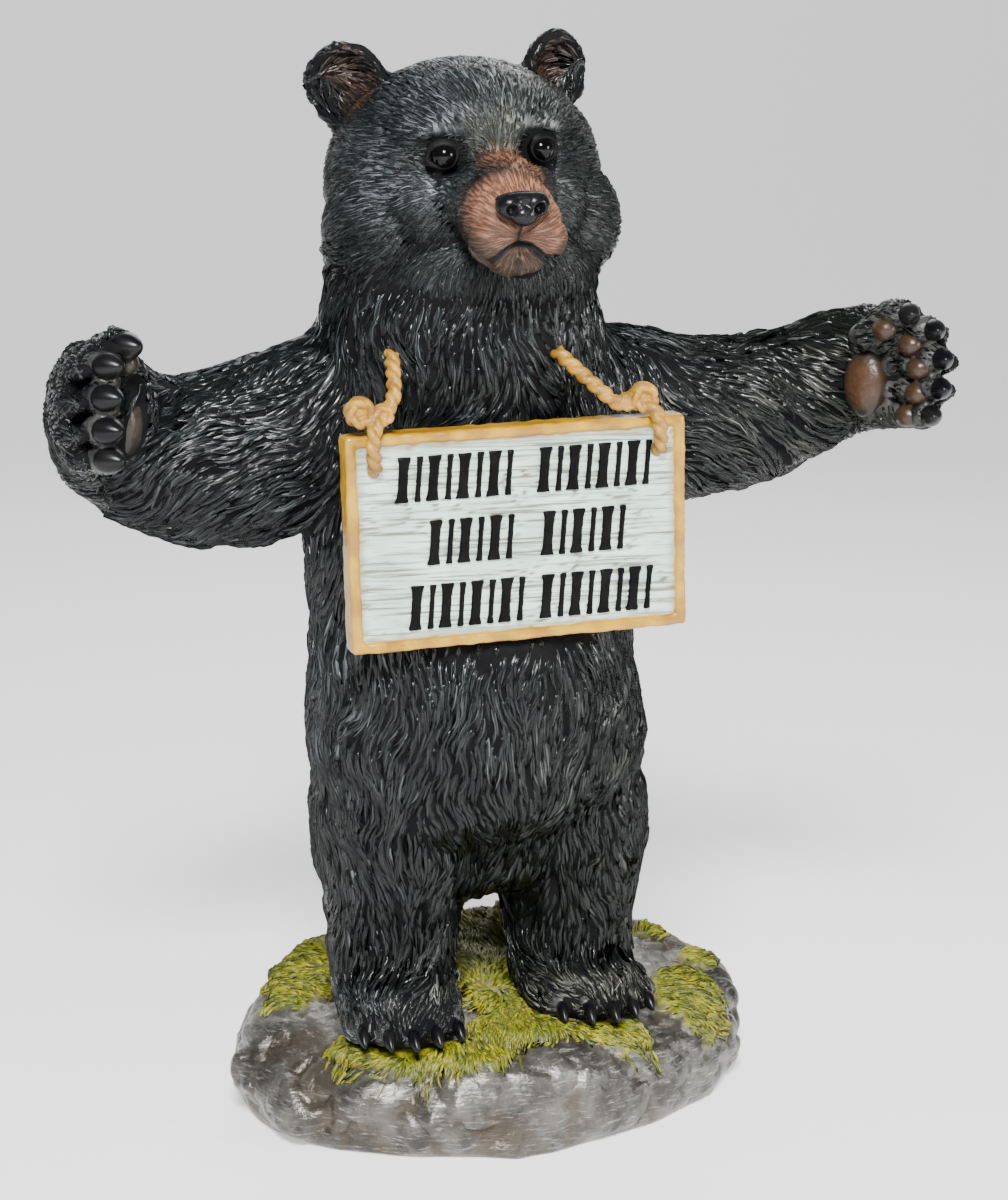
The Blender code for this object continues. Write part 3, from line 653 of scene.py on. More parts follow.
def painted(points):
    """Red, green and blue of the paint layer at points given in metres."""
    place = points / MM - SOLES
    face = in_face(points)
    head_part = near(face, (0, -6, 0), (34, 36, 34), 0.25)
    mottled = 0.32 * rough(place, 14.0, 3.0) + 0.25 * rough(place, 5.0, 8.0)
    grey = 0.20 + mottled * (1 - 0.55 * head_part)
    # Painted light and shade: the olive tint grows to the right and downwards, away from the key
    # light,
    # and the fur keeps a cool blue tint where the key light falls. The head's right half is more olive
    # too.
    olive = smooth_step(-30, 60, place[:, 0] * 0.8 - place[:, 2] * 0.35 + 30)
    crown = near(face, (4, -3, 26), (24, 24, 13), 0.5)
    # Painted shade: the throat under the head and the legs take less grey, so they look darker.
    throat_shade = smooth_step(148, 158, place[:, 2]) * (1 - head_part) * (np.abs(place[:, 0]) < 30)
    legs = smooth_step(70, 50, place[:, 2]) * smooth_step(14, 24, place[:, 2])
    across_head = 0.10 * smooth_step(-8, 12, face[:, 0]) - 0.10
    grey = grey + head_part * across_head + 0.9 * crown - 0.35 * legs - 0.2 * throat_shade
    for centre, radii, amount in PALE_TUFTS:
        grey = np.maximum(grey, amount * near(face, centre, radii, 0.7))
    muzzle = near(face, (-0.2, -38, -7.4), (11.6, 14.0, 9.6), 0.2)
    muzzle = np.maximum(muzzle, near(face, (0.9, -27, 0.2), (6.5, 7.5, 6.4), 0.3))
    muzzle *= 1 - 0.7 * near(face, (-10.5, -31, -10), (3.0, 8, 6), 0.8)
    ears = np.max([near(face, ear, (5.6, 6.0, 6.2), 0.4) for ear in EARS], 0)
    rims = np.max([near(face, ear, (11, 9, 11), 0.2) for ear in EARS], 0)
    # Painted light from above: the terracotta is paler at the top of the muzzle and darker below.
    warm = np.maximum(muzzle * (0.58 + 0.42 * smooth_step(-13, -1, face[:, 2])), ears * 0.75)
    # Painted highlight: the bridge between the eyes is paler and olive, where the light from above
    # falls.
    bridge_highlight = near(face, (0, -20, 9), (7, 9, 5), 0.6)
    olive = np.clip(olive + bridge_highlight + 0.4 * head_part * smooth_step(-10, 10, face[:, 0]), 0, 1)
    grey = np.maximum(grey, 0.55 * bridge_highlight)
    feet = smooth_step(17, 11, place[:, 2]) * smooth_step(0, -8, place[:, 1])
    grey = (grey + 1.5 * feet) * (1 - 0.75 * rims)
    for eye in EYES:
        grey *= 1 - 0.95 * near(face, eye, (5.2, 6, 4.8), 0.25)
    return np.stack([grey, warm, olive, np.ones(len(grey))], 1)


grey, warm, olive, _ = painted(np.array([(SOLES + HEAD + (0, -8, 27)) * MM]))[0]
print("paint on the crown: grey", round(grey, 2), "brown", round(warm, 2), "olive", round(olive, 2))

# %% [markdown]
# ## Painting the head
# The short fur of the face is too fine for locks, so it is drawn by the material: fine ridges that
# run away from the nose, along a UV map made of the angle and the distance from it. The mouth and
# the groove are left black, and the chin is only faintly brown.


# %% Painting the head
def lay_uv(mesh, uv_of_vertex):
    """Writes one UV per vertex into the map named lock."""
    corners = np.empty(len(mesh.loops), np.int32)
    mesh.loops.foreach_get("vertex_index", corners)
    layer = mesh.uv_layers.new(name="lock")
    layer.data.foreach_set("uv", uv_of_vertex[corners].astype(np.float32).ravel())


head.data.transform(head_place())
points = read(head.data)
face = (points / MM - SOLES - HEAD) - np.array(NOSE)
angle = np.arctan2(face[:, 0], face[:, 2] + 6)
reach = np.linalg.norm(face, axis=1)
lay_uv(head.data, np.stack([angle * 14 + 0.5 * rough(points, 6 * MM), reach * 0.35], 1))
colours = painted(points)
depth = np.minimum(mouth, philtrum + 0.45)
shadow = 1 - smooth_step(0.45, 0.95, depth)
colours[:, :3] *= (1 - shadow)[:, None]
jaw = near(face + np.array(NOSE), (-1.0, -37, -17.5), (10.0, 9.0, 4.5), 0.3)
colours[:, 0] *= 1 - 0.8 * jaw
colours[:, 1] *= 1 - smooth_step(12, 15, face[:, 2] + NOSE[2])
chin = near(face + np.array(NOSE), (-0.8, -39, -16.9), (7.0, 9.0, 3.0), 0.3)
colours[:, 1] = np.maximum(colours[:, 1] * (1 - chin), 0.20 * chin * (1 - shadow))
colours[:, 0] = np.maximum(colours[:, 0], 0.12 * chin * (1 - shadow))
colours[:, 2] = np.maximum(colours[:, 2], chin)
store(head.data, "paint", colours)
face_paint = fur_material("face", 1.6, 1.0, 0.00026, roughness=0.55, coat=0.0)
hand_over(head, face_paint, "black fur")
print("painted points:", len(points))

# %% [markdown]
# ## Eyes and lids
# The eyes are glossy black beads under dark, hooded lids. They could be part of the head's mesh, but
# a ball of its own keeps a clean highlight. A lid is a torus around the eye: its top is lowered and
# drawn forward, and its outer end is stretched to a corner.


# %% Eyes and lids
LID_THICK = 0.42
LID_TURN = 16


def make_eye(name, centre, side):
    place = head_place()
    eye = ball(Vector(centre), (EYE_RADIUS,) * 3, finer=5)
    eye.name = name
    points = read(eye.data)
    front = smooth_step(0.2, 1.0, (centre[1] - points[:, 1]) / EYE_RADIUS)
    points[:, 1] -= 0.25 * front
    write(eye.data, points)
    eye.data.transform(place)
    hand_over(eye, eye_paint, "black fur")
    deselect()
    bpy.ops.mesh.primitive_torus_add(
        major_segments=64, minor_segments=16, major_radius=EYE_RADIUS - 0.1, minor_radius=LID_THICK,
        rotation=(deg(90), 0, 0))
    lid = named(name + "_lid")
    bake_place(lid)
    points = read(lid.data)
    outer = points[:, 0] * side
    hood = smooth_step(0, LID_THICK, np.hypot(points[:, 0], points[:, 2]) - EYE_RADIUS + 0.1)
    hood *= smooth_step(0.2, 2.0, points[:, 2])
    points[:, 2] *= np.where(points[:, 2] > 0, 0.80, 0.92)
    points += np.outer(hood, (0, 0.7, 1.1))
    points[:, 0] += side * 0.9 * smooth_step(1.0, 3.6, outer)
    points[:, 2] += -0.5 * smooth_step(1.4, 3.6, outer) + 0.1 * smooth_step(1.4, 3.6, -outer)
    points[:, 1] -= 1.1 * smooth_step(0.4, 2.4, points[:, 2])
    write(lid.data, points + np.array(centre) - (0, 0.9, 0))
    turn = Matrix.Translation(centre) @ Matrix.Rotation(deg(LID_TURN * side), 4, "Z")
    lid.data.transform(place @ turn @ Matrix.Translation(-Vector(centre)))
    hand_over(lid, lid_paint, "black fur")


make_eye("eye_near", EYES[0], -1)
make_eye("eye_far", EYES[1], 1)
print("eyes at", EYES)

# %% [markdown]
# ## Nose
# The nose is a wide black knob with two slanting nostrils and a cleft. It could be extruded from the
# muzzle, but it is glossier than the fur and has its own paint. So it is fused from balls, a Boolean
# cuts the nostrils, and a second Remesh rounds their edges.

# %% Nose
NOSE_BALLS = (
    ((-3.6, -43.0, -4.4), (3.1, 2.8, 2.7)),
    ((1.6, -43.0, -4.4), (3.1, 2.8, 2.7)),
    ((-1.0, -42.2, -3.0), (5.6, 3.2, 1.5)),
    ((-1.0, -43.4, -6.4), (3.0, 2.5, 2.3)),
    ((-1.0, -41.0, -4.6), (5.2, 3.2, 3.1)),
)
nose = join([ball(Vector(c), r) for c, r in NOSE_BALLS], "nose")
fuse(nose, 0.22, soften=6)
nostrils = []
for side in (-1, 1):
    turn = Matrix.Rotation(deg(-28 * side), 3, "Y")
    nostrils.append(ball(Vector((2.95 * side - 1.0, -46.0, -5.3)), (1.35, 2.6, 1.3), turn))
nostrils.append(ball(Vector((-1.0, -46.2, -6.9)), (0.25, 0.8, 1.9)))
cutter = join(nostrils, "nostrils")
modify(nose, "BOOLEAN", operation="DIFFERENCE", object=cutter, solver="EXACT")
bpy.data.objects.remove(cutter)
fuse(nose, 0.2, soften=4)
nose.data.transform(head_place())
nose_paint = skin_material("nose", (0.003, 0.003, 0.004), (0.008, 0.008, 0.009), 0.26,
                           scale=1500.0, depth=0.00004, specular=0.2)
hand_over(nose, nose_paint, "black fur")
print("nose faces:", len(nose.data.polygons))

# %% [markdown]
# ## One lock of fur
# The coat is carved into short pointed locks. Blender's hair could grow them, but hair has no faces
# and would not be kept as a mesh. So one lock is modelled from a flat grid: its tip is drawn in, its
# middle is raised, its rim is sunk and its underside is closed. Every lock and every blade of moss
# is a bent copy of this one, which is why it has so few faces.

# %% The lock
STATIONS = 5  # rows of points along a lock, and steps of a guide plus one
deselect()
bpy.ops.mesh.primitive_grid_add(x_subdivisions=2, y_subdivisions=STATIONS - 1, size=2.0)
lock = named("lock")
shape = read(lock.data)
across, along = shape[:, 0].copy(), (shape[:, 1] + 1) / 2
width = np.interp(along, (0, 0.25, 0.5, 0.75, 1), (0.55, 0.95, 1.0, 0.72, 0.07))
crown = np.interp(along, (0, 0.25, 0.5, 0.75, 1), (-0.7, 0.45, 0.95, 1.0, 0.65))
write(lock.data, np.stack([across * width, along, crown * (1 - across ** 2) - 0.4 * across ** 2], 1))
pick(lock)
bpy.ops.object.mode_set(mode="EDIT")
bpy.ops.mesh.select_all(action="SELECT")
bpy.ops.mesh.region_to_loop()
bpy.ops.mesh.edge_face_add()
bpy.ops.mesh.select_all(action="SELECT")
bpy.ops.mesh.normals_make_consistent(inside=False)
bpy.ops.object.mode_set(mode="OBJECT")
lock_shape = read(lock.data)
lock_faces = [list(p.vertices) for p in lock.data.polygons]
lock_uv = np.stack([(across + 1) / 2, along], 1)
bpy.data.objects.remove(lock)
print("points and faces of one lock:", len(lock_shape), len(lock_faces))

# %% [markdown]
# ## Laying locks on a skin
# The locks lie close to the body and run in waves and swirls. They could be scattered as straight
# copies, but a long one would stand off a round arm. A guide starts at a root on the skin instead
# and takes four steps the way the fur lies. After each step it is pulled back to the skin, and slow
# noise turns it.


# %% The skin as a surface
class Surface:
    """A piece's points, normals and a tree that finds the nearest place on its skin."""

    def __init__(self, obj):
        self.points = read(obj.data)
        self.normals = read(obj.data, "normal")
        faces = [list(p.vertices) for p in obj.data.polygons]
        self.tree = BVHTree.FromPolygons([tuple(p) for p in self.points], faces)
        self.face_normals = np.array([self.normals[f].mean(0) for f in faces])

    def nearest(self, points):
        found = [self.tree.find_nearest(Vector(p)) for p in points]
        places = np.array([f[0] for f in found])
        normals = self.face_normals[[f[2] for f in found]]
        normals /= np.maximum(np.linalg.norm(normals, axis=1, keepdims=True), 1e-9)
        return places, normals


def unit(vectors):
    return vectors / np.maximum(np.linalg.norm(vectors, axis=1, keepdims=True), 1e-9)


print("skin points:", len(skin.data.vertices))

# %% [markdown]
# ## Roots and guides
# Carved locks stand at even distances and overlap like tiles. A particle system could scatter them,
# but some would lie on top of each other. So roots are taken in random order, and each one claims
# the skin around it. From every root a guide then steps along the skin.


# %% Roots and guides
def spread(points, spacing, seed):
    """Indices of points that keep their own spacing from each other."""
    tree = KDTree(len(points))
    for i, point in enumerate(points):
        tree.insert(point, i)
    tree.balance()
    taken = np.zeros(len(points), bool)
    chosen = []
    for i in np.random.default_rng(seed).permutation(len(points)):
        if not taken[i]:
            chosen.append(i)
            for _, j, _ in tree.find_range(points[i], spacing[i]):
                taken[j] = True
    return np.array(chosen)


def lay_guides(surface, roots, lengths, lie, swirl, seed):
    """Paths over the skin, their normals, and their side vectors. Each is stations x roots x 3."""
    rng = np.random.default_rng(seed)
    bend = rng.normal(0, 0.16, len(roots))
    places, normals = surface.nearest(roots)
    paths, rises, sides = [places], [normals], []
    for k in range(STATIONS - 1):
        here, normal = paths[-1], rises[-1]
        ahead = lie(here)
        ahead = unit(ahead - normal * (ahead * normal).sum(1, keepdims=True))
        turn = swirl * (0.85 * rough(here, 15 * MM, 2.0) + 0.55 * rough(here, 6 * MM, 9.0))
        turn = (turn + bend * (k - 1.2))[:, None]
        ahead = ahead * np.cos(turn) + np.cross(normal, ahead) * np.sin(turn)
        sides.append(unit(np.cross(ahead, normal)))
        places, normals = surface.nearest(here + ahead * (lengths / (STATIONS - 1))[:, None])
        paths.append(places)
        rises.append(unit(normals + 0.6 * normal))
    sides.append(sides[-1])
    return np.array(paths), np.array(rises), np.array(sides)


print("steps of a guide:", STATIONS - 1)

# %% [markdown]
# ## Bending the copies
# Each lock follows its guide. A Curve modifier could bend it, but thousands of modifiers would be
# slow. The lock's points are set beside the guide's by one rule instead, and its colour and a place
# of its own in the UV map come with it.


# %% Bending the copies
def copy_locks(name, guides, widths, heights, colours, paint_name="paint"):
    """One piece made of a bent copy of the lock along each guide."""
    paths, rises, sides = guides
    count = paths.shape[1]
    points = np.empty((count, len(lock_shape), 3))
    for j, (u, t, h) in enumerate(lock_shape):
        k = round(t * (STATIONS - 1))
        points[:, j] = paths[k] + sides[k] * (u * widths)[:, None] + rises[k] * (h * heights)[:, None]
    faces = []
    for i in range(count):
        first = i * len(lock_shape)
        faces += [[first + v for v in face] for face in lock_faces]
    mesh = bpy.data.meshes.new(name)
    mesh.from_pydata(points.reshape(-1, 3).tolist(), [], faces)
    obj = bpy.data.objects.new(name, mesh)
    bpy.context.scene.collection.objects.link(obj)
    cell = np.arange(count)
    uv = lock_uv[None] + np.stack([cell % 97, cell // 97], 1)[:, None] * 1.37
    lay_uv(mesh, uv.reshape(-1, 2))
    store(mesh, paint_name, np.repeat(colours, len(lock_shape), axis=0))
    return obj


print("triangles of one lock:", sum(len(face) - 2 for face in lock_faces))

# %% [markdown]
# ## Which way the fur lies
# On the face the fur runs away from the nose, on the body it hangs down, on the arms it runs out to
# the hands and down, and on the feet it runs forward to the toes. It could be combed by hand, guide
# by guide. Here each part of the body has one direction, and soft shares blend them where two meet.


# %% The lie of the fur
def lie_of_fur(points):
    place = points / MM - SOLES
    x, y, z = place.T
    side = np.sign(x)
    zero = 0 * x
    on_arm = smooth_step(32, 48, np.abs(x)) * (z > 90)
    on_hand = smooth_step(80, 88, np.abs(x)) * smooth_step(6, -10, y)
    on_head = smooth_step(164, 180, z) * (1 - on_arm)
    on_foot = smooth_step(17, 9, z) * smooth_step(4, -6, y)
    down = np.stack([0.004 * x, zero, zero - 1], 1)
    arm = np.stack([side * 0.85, zero - 0.15, -0.45 - 0.25 * smooth_step(140, 120, z)], 1)
    hand = np.stack([side * 0.1, zero - 1.0, 0.02 * (z - 148)], 1)
    foot = np.stack([0.01 * x, zero - 1.0, zero - 0.25], 1)
    face = unit(place - HEAD - (0, -42, 4))
    lie = down
    for share, other in ((on_arm, arm), (on_hand, hand), (on_head, face), (on_foot, foot)):
        lie = lie * (1 - share)[:, None] + other * share[:, None]
    return unit(lie)


belly = np.array([(SOLES + (0, -20, 70)) * MM])
print("on the belly the fur runs", lie_of_fur(belly)[0].round(2))

# %% [markdown]
# ## Where no fur grows
# The sign lies on the chest under two stretches of rope, and no fur pokes through them. It could be
# cut off with a Boolean, but that leaves flat ends. So each lock is asked first whether there is
# room for it, and the places of the sign and the ropes are set here, before they are made. The rope
# paths are given from the sign's upper corners, in millimetres: x to the middle, y back, z up. A
# knot has a fourth number, its size as a share of KNOT_SIZE.

# %% Sign and rope places
SIGN_SIZE = Vector((75, 6.5, 46.5)) * MM
SIGN_FACE = Matrix.Translation(Vector((-10.5, -56.0, 142.0)) * MM) @ Euler(
    (deg(3.0), deg(-2.2), 0)).to_matrix().to_4x4()
ROPE_THICK = 3.3 * MM
ROPE_PATHS = {
    "rope_left": (-1, (
        ((13.2, 11.0, 15.5), (12.2, 6.0, 11.5), (11.2, 2.6, 7.5), (8.8, 0.4, 4.2)),
        ((7.2, -0.4, 3.4), (5.6, -2.4, 0.8), (5.3, -2.7, -2.6), (6.0, -0.8, -6.4), (6.3, 2.6, -7.9)))),
    "rope_right": (1, (
        ((25.4, 11.0, 13.8), (22.6, 6.0, 10.4), (19.0, 2.6, 6.6), (15.2, 0.9, 3.3), (11.5, 0.5, 3.4)),
        ((8.6, -1.0, 3.2), (7.2, -2.6, 0.4), (6.7, -2.7, -2.6), (6.1, -0.8, -6.4), (6.0, 2.6, -7.9)))),
}
KNOTS = {
    "rope_left": ((3.4, 0.4, 5.0, 1.0), (8.2, 0.2, 4.2, 0.72)),
    "rope_right": ((9.6, 0.2, 4.2, 1.0), (13.2, 0.6, 3.4, 0.62)),
}
KNOT_SIZE = 6.2 * MM


def from_corner(point, side):
    """From the sign's upper corner to the sign's own frame, in metres."""
    x, y, z = (c * MM for c in point[:3])
    return Vector((side * (SIGN_SIZE.x / 2 - x), y, SIGN_SIZE.z / 2 + z))


def smooth_path(points, step):
    """Points at even steps along a curve through the given ones."""
    padded = [points[0] * 2 - points[1], *points, points[-1] * 2 - points[-2]]
    path = []
    for a, b, c, d in zip(padded, padded[1:], padded[2:], padded[3:]):
        count = max(round((c - b).length / step), 1)
        for k in range(count):
            t = k / count
            path.append(0.5 * (2 * b + (c - a) * t + (2 * a - 5 * b + 4 * c - d) * t * t
                               + (3 * b - a - 3 * c + d) * t ** 3))
    return path + [points[-1]]


print("ropes:", sorted(ROPE_PATHS), "knots on each:", len(KNOTS["rope_left"]))

# %% [markdown]
# ## Room for the sign and the ropes
# On the cast the fur touches the sign's edge and the ropes, but never crosses them. The distance to
# a mesh is slow to find, and those meshes don't exist yet. So the sign counts as a box, and each
# rope as a row of points in a search tree.

# %% Room for the sign and the ropes
rope_points = []
for name, (side, runs) in ROPE_PATHS.items():
    for run in runs:
        rope_points += [SIGN_FACE @ p for p in smooth_path([from_corner(q, side) for q in run], MM)]
    for knot in KNOTS[name]:
        rope_points.append(SIGN_FACE @ from_corner(knot, side))
rope_tree = KDTree(len(rope_points))
for i, point in enumerate(rope_points):
    rope_tree.insert(point, i)
rope_tree.balance()
sign_inverse = np.array(SIGN_FACE.inverted())


def free_of_sign(points, clearance=1.2 * MM):
    """True where fur may grow without touching the sign or the ropes."""
    local = points @ sign_inverse[:3, :3].T + sign_inverse[:3, 3]
    inside = np.abs(local[:, 0]) < SIGN_SIZE.x / 2 + clearance
    inside &= np.abs(local[:, 2]) < SIGN_SIZE.z / 2 + clearance
    inside &= local[:, 1] < SIGN_SIZE.y + clearance
    inside &= local[:, 1] > -6 * MM
    room = np.array([rope_tree.find(Vector(p))[2] for p in points])
    return ~inside & (room > ROPE_THICK / 2 + clearance * 0.6)


print("rope points to keep clear of:", len(rope_points))

# %% [markdown]
# ## One claw
# Claws are black, round and pointed. One could be extruded ring by ring, but a ball is closed and
# smooth from the start. It is drawn out along z, thinned towards its tip and bent towards +x, and
# all fingers and toes get scaled copies of it.


# %% One claw
CLAW_THINNING = 0.45
CLAW_BEND = 0.45


def make_claw_mesh():
    deselect()
    bpy.ops.mesh.primitive_uv_sphere_add(segments=20, ring_count=16, radius=1.0)
    claw = named("claw")
    points = read(claw.data)
    along = (points[:, 2] + 1) / 2
    thin = 1 - CLAW_THINNING * along ** 2
    bent = points[:, 0] * thin + CLAW_BEND * along ** 2
    shape = np.stack([bent, points[:, 1] * thin, along], 1)
    write(claw.data, shape)
    return claw


claw_model = make_claw_mesh()


def place_claw(root, along, bend, length, thick, wide):
    """A copy of the claw from root, pointing along, with its tip bent towards bend. In metres."""
    along = along.normalized()
    bend = (bend - along * bend.dot(along)).normalized()
    side = along.cross(bend)
    columns = (bend * thick, side * wide, along * length)
    matrix = Matrix([(*row,) for row in zip(*columns)]).to_4x4()
    copy = bpy.data.objects.new("claw_copy", claw_model.data.copy())
    bpy.context.scene.collection.objects.link(copy)
    copy.data.transform(Matrix.Translation(root) @ matrix)
    return copy


print("points of the claw:", len(claw_model.data.vertices))

# %% [markdown]
# ## Hands
# Each hand shows its palm: five plump fingers with a claw and a pad each, and one large heel pad.
# Fingers could be extruded from the palm, but plump ones are quicker as rows of balls, fused. The
# two hands differ in their turn and in a few shifts, so those stand in a table. Every claw and pad
# notes a bare spot around it, where no fur may grow.


# %% Hands
def capsule(start, end, radii, turn=None):
    """Balls from start to end, to be fused into one finger."""
    return [ball(start.lerp(end, t), radii, turn, finer=3) for t in (0, 0.33, 0.67, 1)]


FINGERS = (  # tip height, pad height, reach past the wrist and shift to the palm, in millimetres
    (12.8, 9.2, 3.6, 8.6),
    (9.2, 5.8, 7.6, 4.4),
    (2.9, 0.6, 9.6, 3.8),
    (-3.7, -5.0, 9.4, 3.8),
    (-9.9, -10.2, 7.2, 4.2),
)
bare_spots = []


def bare(centre, radii, turn):
    """Notes an ellipsoid, in metres, where no fur may grow."""
    shape = turn @ Matrix.Diagonal(radii)
    bare_spots.append((np.array(centre), np.array(shape.inverted())))


finger_skins = []
HEEL_HALF = (3.9, 6.0, 8.0)
CLAW_LENGTH = 7.0
# The palm's turn to the front is in degrees. Shifts go towards the palm, claw_out towards the tip.
HANDS = {
    "near": dict(side=-1, wrist=(-90.3, -24.0, 146.5), turn=2, finger_shift=-2.0, heel_shift=0.9,
                 claw_out=0.5, pad_shift=1.7, claw_half=(3.5, 3.15), paint=worn_pad_paint),
    "far": dict(side=1, wrist=(95.5, -24.0, 150.5), turn=25, finger_shift=0.0, heel_shift=0.0,
                claw_out=1.4, pad_shift=3.0, claw_half=(3.1, 2.75), paint=pad_paint),
}
print("fingers on a hand:", len(FINGERS))

# %% [markdown]
# ## Making a hand
# The bear holds its hands up as for a hug, with the palms turned to each other. A hand could be
# modelled flat and turned afterwards, but its fit to the arm is easier to judge in place. So its
# three directions are found first: out along the fingers, up, and the way the palm faces. Every part
# is placed along these, and one rule makes both hands.


# %% Making a hand
def rim_place(points, heel, out):
    """How far points are from the heel pad's middle, across and up, as shares of its half sizes."""
    away = points - np.array(heel)
    return away @ np.array(out) / HEEL_HALF[1], away[:, 2] / HEEL_HALF[2]


def make_hand(which, side, wrist, turn, finger_shift, heel_shift, claw_out, pad_shift, claw_half,
              paint):
    """Fingers, claws and pads of one hand. side is -1 for the hand on the left of the view."""
    turn = deg(turn)
    palm = Vector((-math.cos(turn) * side, -math.sin(turn), 0))
    out = Vector((math.sin(turn) * side, -math.cos(turn), 0))
    up = Vector((0, 0, 1))
    about = Matrix.Rotation(turn * side, 3, "Z")
    wrist = Vector(SOLES) + Vector(wrist)
    fingers, claws, pads = [], [], []
    for height, pad_height, reach, shift in FINGERS:
        shift += finger_shift
        root = wrist + up * (1.5 * pad_height - 0.5 * height) + palm * shift - out * 5
        end = wrist + up * height + palm * shift + out * reach
        fingers += capsule(root * MM, end * MM, Vector((4.1, 3.9, 3.15)) * MM, about)
        fingers.append(ball((end + out * 1.6 + palm * 0.6) * MM, Vector((3.9, 3.2, 3.2)) * MM, about))
        start = end + out * claw_out - palm * 0.2
        claws.append(place_claw(start * MM, out * 0.9 + palm * 0.3, palm, CLAW_LENGTH * MM,
                                *(half * MM for half in claw_half)))
        bare((start + out * 4) * MM, Vector((4.0, 3.8, 3.4)) * MM, about)
        pad = wrist + up * pad_height + palm * (shift + pad_shift) + out * (reach - 0.9)
        pads.append(ball(pad * MM, Vector((2.4, 3.0, 2.5)) * MM, about))
        bare((pad + palm) * MM, Vector((3.4, 3.1, 2.6)) * MM, about)
    heel = wrist - out * 5.9 + palm * (7.4 + heel_shift) - up * 3.4
    pads.append(ball(heel * MM, Vector(HEEL_HALF) * MM, about))
    bare(heel * MM, Vector((6.0, 6.3, 8.2)) * MM, about)
    body = fuse(join(fingers, "fingers_" + which), 0.55 * MM, soften=3)
    finger_skins.append(body)
    hand_over(body, digit_paint, "black fur")
    hand_over(join(claws, "claws_" + which), claw_paint, "black fur")
    pads = fuse(join(pads, "pads_" + which), 0.4 * MM, soften=3)
    modify(pads, "DECIMATE", ratio=0.5)
    points = read(pads.data) / MM
    from_heel = (points - np.array(heel)) @ np.array(about) / HEEL_HALF
    from_rim = np.hypot(*rim_place(points, heel + out * 1.5, out))
    on_heel = np.linalg.norm(from_heel, axis=1) < 1.4
    reached = np.where(on_heel, smooth_step(1.0, 0.45, from_rim), 0.62)
    store(pads.data, "paint", np.outer(reached, (1, 1, 1, 1)))
    hand_over(pads, paint, "black fur")


for which, hand in HANDS.items():
    make_hand(which, **hand)
print("hands ready, bare spots:", len(bare_spots))

# %% [markdown]
# ## Feet
# The feet stand flat, with five rounded toes and short claws that point down at the rock. They are
# made as the fingers are, from balls and copies of the claw, so that hands and feet look alike.

# %% Feet
FEET = ((-20.7, -2.0, -1), (24.5, 2.5, 1))  # x and y from the soles' middle, and the side
FOOT_TURN = 5
TOE_PITCH = 5.3


def make_toes(which, x, y, side):
    """Five toes with short claws across the front of a foot."""
    about = Matrix.Rotation(deg(FOOT_TURN * side), 3, "Z")
    toes, claws = [], []
    for i in range(-2, 3):
        local = Vector((i * TOE_PITCH, -20.3 + abs(i) ** 1.7 * 1.4, 4.2))
        root = about @ local + Vector((x, y, 0)) + Vector(SOLES)
        toes.append(ball(root * MM, Vector((3.0, 4.6, 3.9)) * MM, about))
        toes.append(ball((root + Vector((0, 4, 1.8))) * MM, Vector((2.9, 4.4, 4.0)) * MM, about))
        start = (root + Vector((0, -3.2, 0.7))) * MM
        claws.append(place_claw(start, Vector((i * 0.05, -1, -0.35)), Vector((0, 0, -1)),
                                6.2 * MM, 1.9 * MM, 1.6 * MM))
        bare(start, Vector((1.7, 3.4, 1.7)) * MM, about)
    body = fuse(join(toes, "toes_" + which), 0.55 * MM, soften=2)
    finger_skins.append(body)
    hand_over(body, digit_paint, "black fur")
    hand_over(join(claws, "toe_claws_" + which), claw_paint, "black fur")


make_toes("near", *FEET[0])
make_toes("far", *FEET[1])
bpy.data.objects.remove(claw_model)
print("feet ready, bare spots:", len(bare_spots))

# %% [markdown]
# ## The sizes of the locks
# The fur is short and fine on the head, the hands and the feet, and long on the body. One size for
# all would be simpler, but the face would look like a rug. So the spacing, length, width and height
# of a lock shrink by a share on each of these parts.


# %% The sizes of the locks
LOCK_SIZES = (  # millimetres, then the share lost on the head, paws, face, ears and finger tips
    (1.56, 0.37, 0.2, 0.0, 0.25, 0.2),
    (9.4, 0.5, 0.5, 0.4, 0.45, 0.4),
    (0.92, 0.42, 0.35, 0.25, 0.2, 0.3),
    (0.85, 0.48, 0.62, 0.4, 0.72, 0.4),
)


def furry(points):
    """True where the cast carries fur."""
    place = points / MM - SOLES
    face = in_face(points)
    muzzle = near(face, (-0.6, -37, -7.4), (11.4, 16, 9.9), 0.1) > 0.5
    muzzle |= near(face, (-1.6, -36, -15.5), (8.6, 8.5, 5.2), 0.1) > 0.5
    eyes = np.min([np.linalg.norm(face - eye, axis=1) for eye in EYES], 0) < EYE_RADIUS + 0.55
    grows = ~(muzzle | eyes | (place[:, 2] < 1.2))
    for centre, shape in bare_spots:
        grows &= np.linalg.norm((points - centre) @ shape.T, axis=1) > 1
    return grows


def coat_sizes(points):
    """Spacing, length, half width and height of the lock at each root, in metres."""
    place = points / MM - SOLES
    face = in_face(points)
    head_part = near(face, (0, -8, 2), (33, 34, 31), 0.16)
    paws = np.maximum(smooth_step(78, 86, np.abs(place[:, 0])), smooth_step(16, 9, place[:, 2]))
    ear = np.max([near(face, centre, (10, 9, 10), 0.2) for centre in EARS], 0)
    tips = smooth_step(-26, -30, place[:, 1]) * (np.abs(place[:, 0]) > 78)
    tips = tips + smooth_step(-14, -19, place[:, 1]) * (place[:, 2] < 12)
    fine = near(face, (0, -28, 0), (17, 16, 15), 0.5)
    sizes = []
    for size, *losses in LOCK_SIZES:
        for loss, part in zip(losses, (head_part, paws, fine, ear, tips)):
            size = size * (1 - loss * part)
        sizes.append(size * MM)
    return (*sizes, head_part)


print("a lock on the belly is", round(coat_sizes(belly)[1][0] / MM, 1), "mm long")

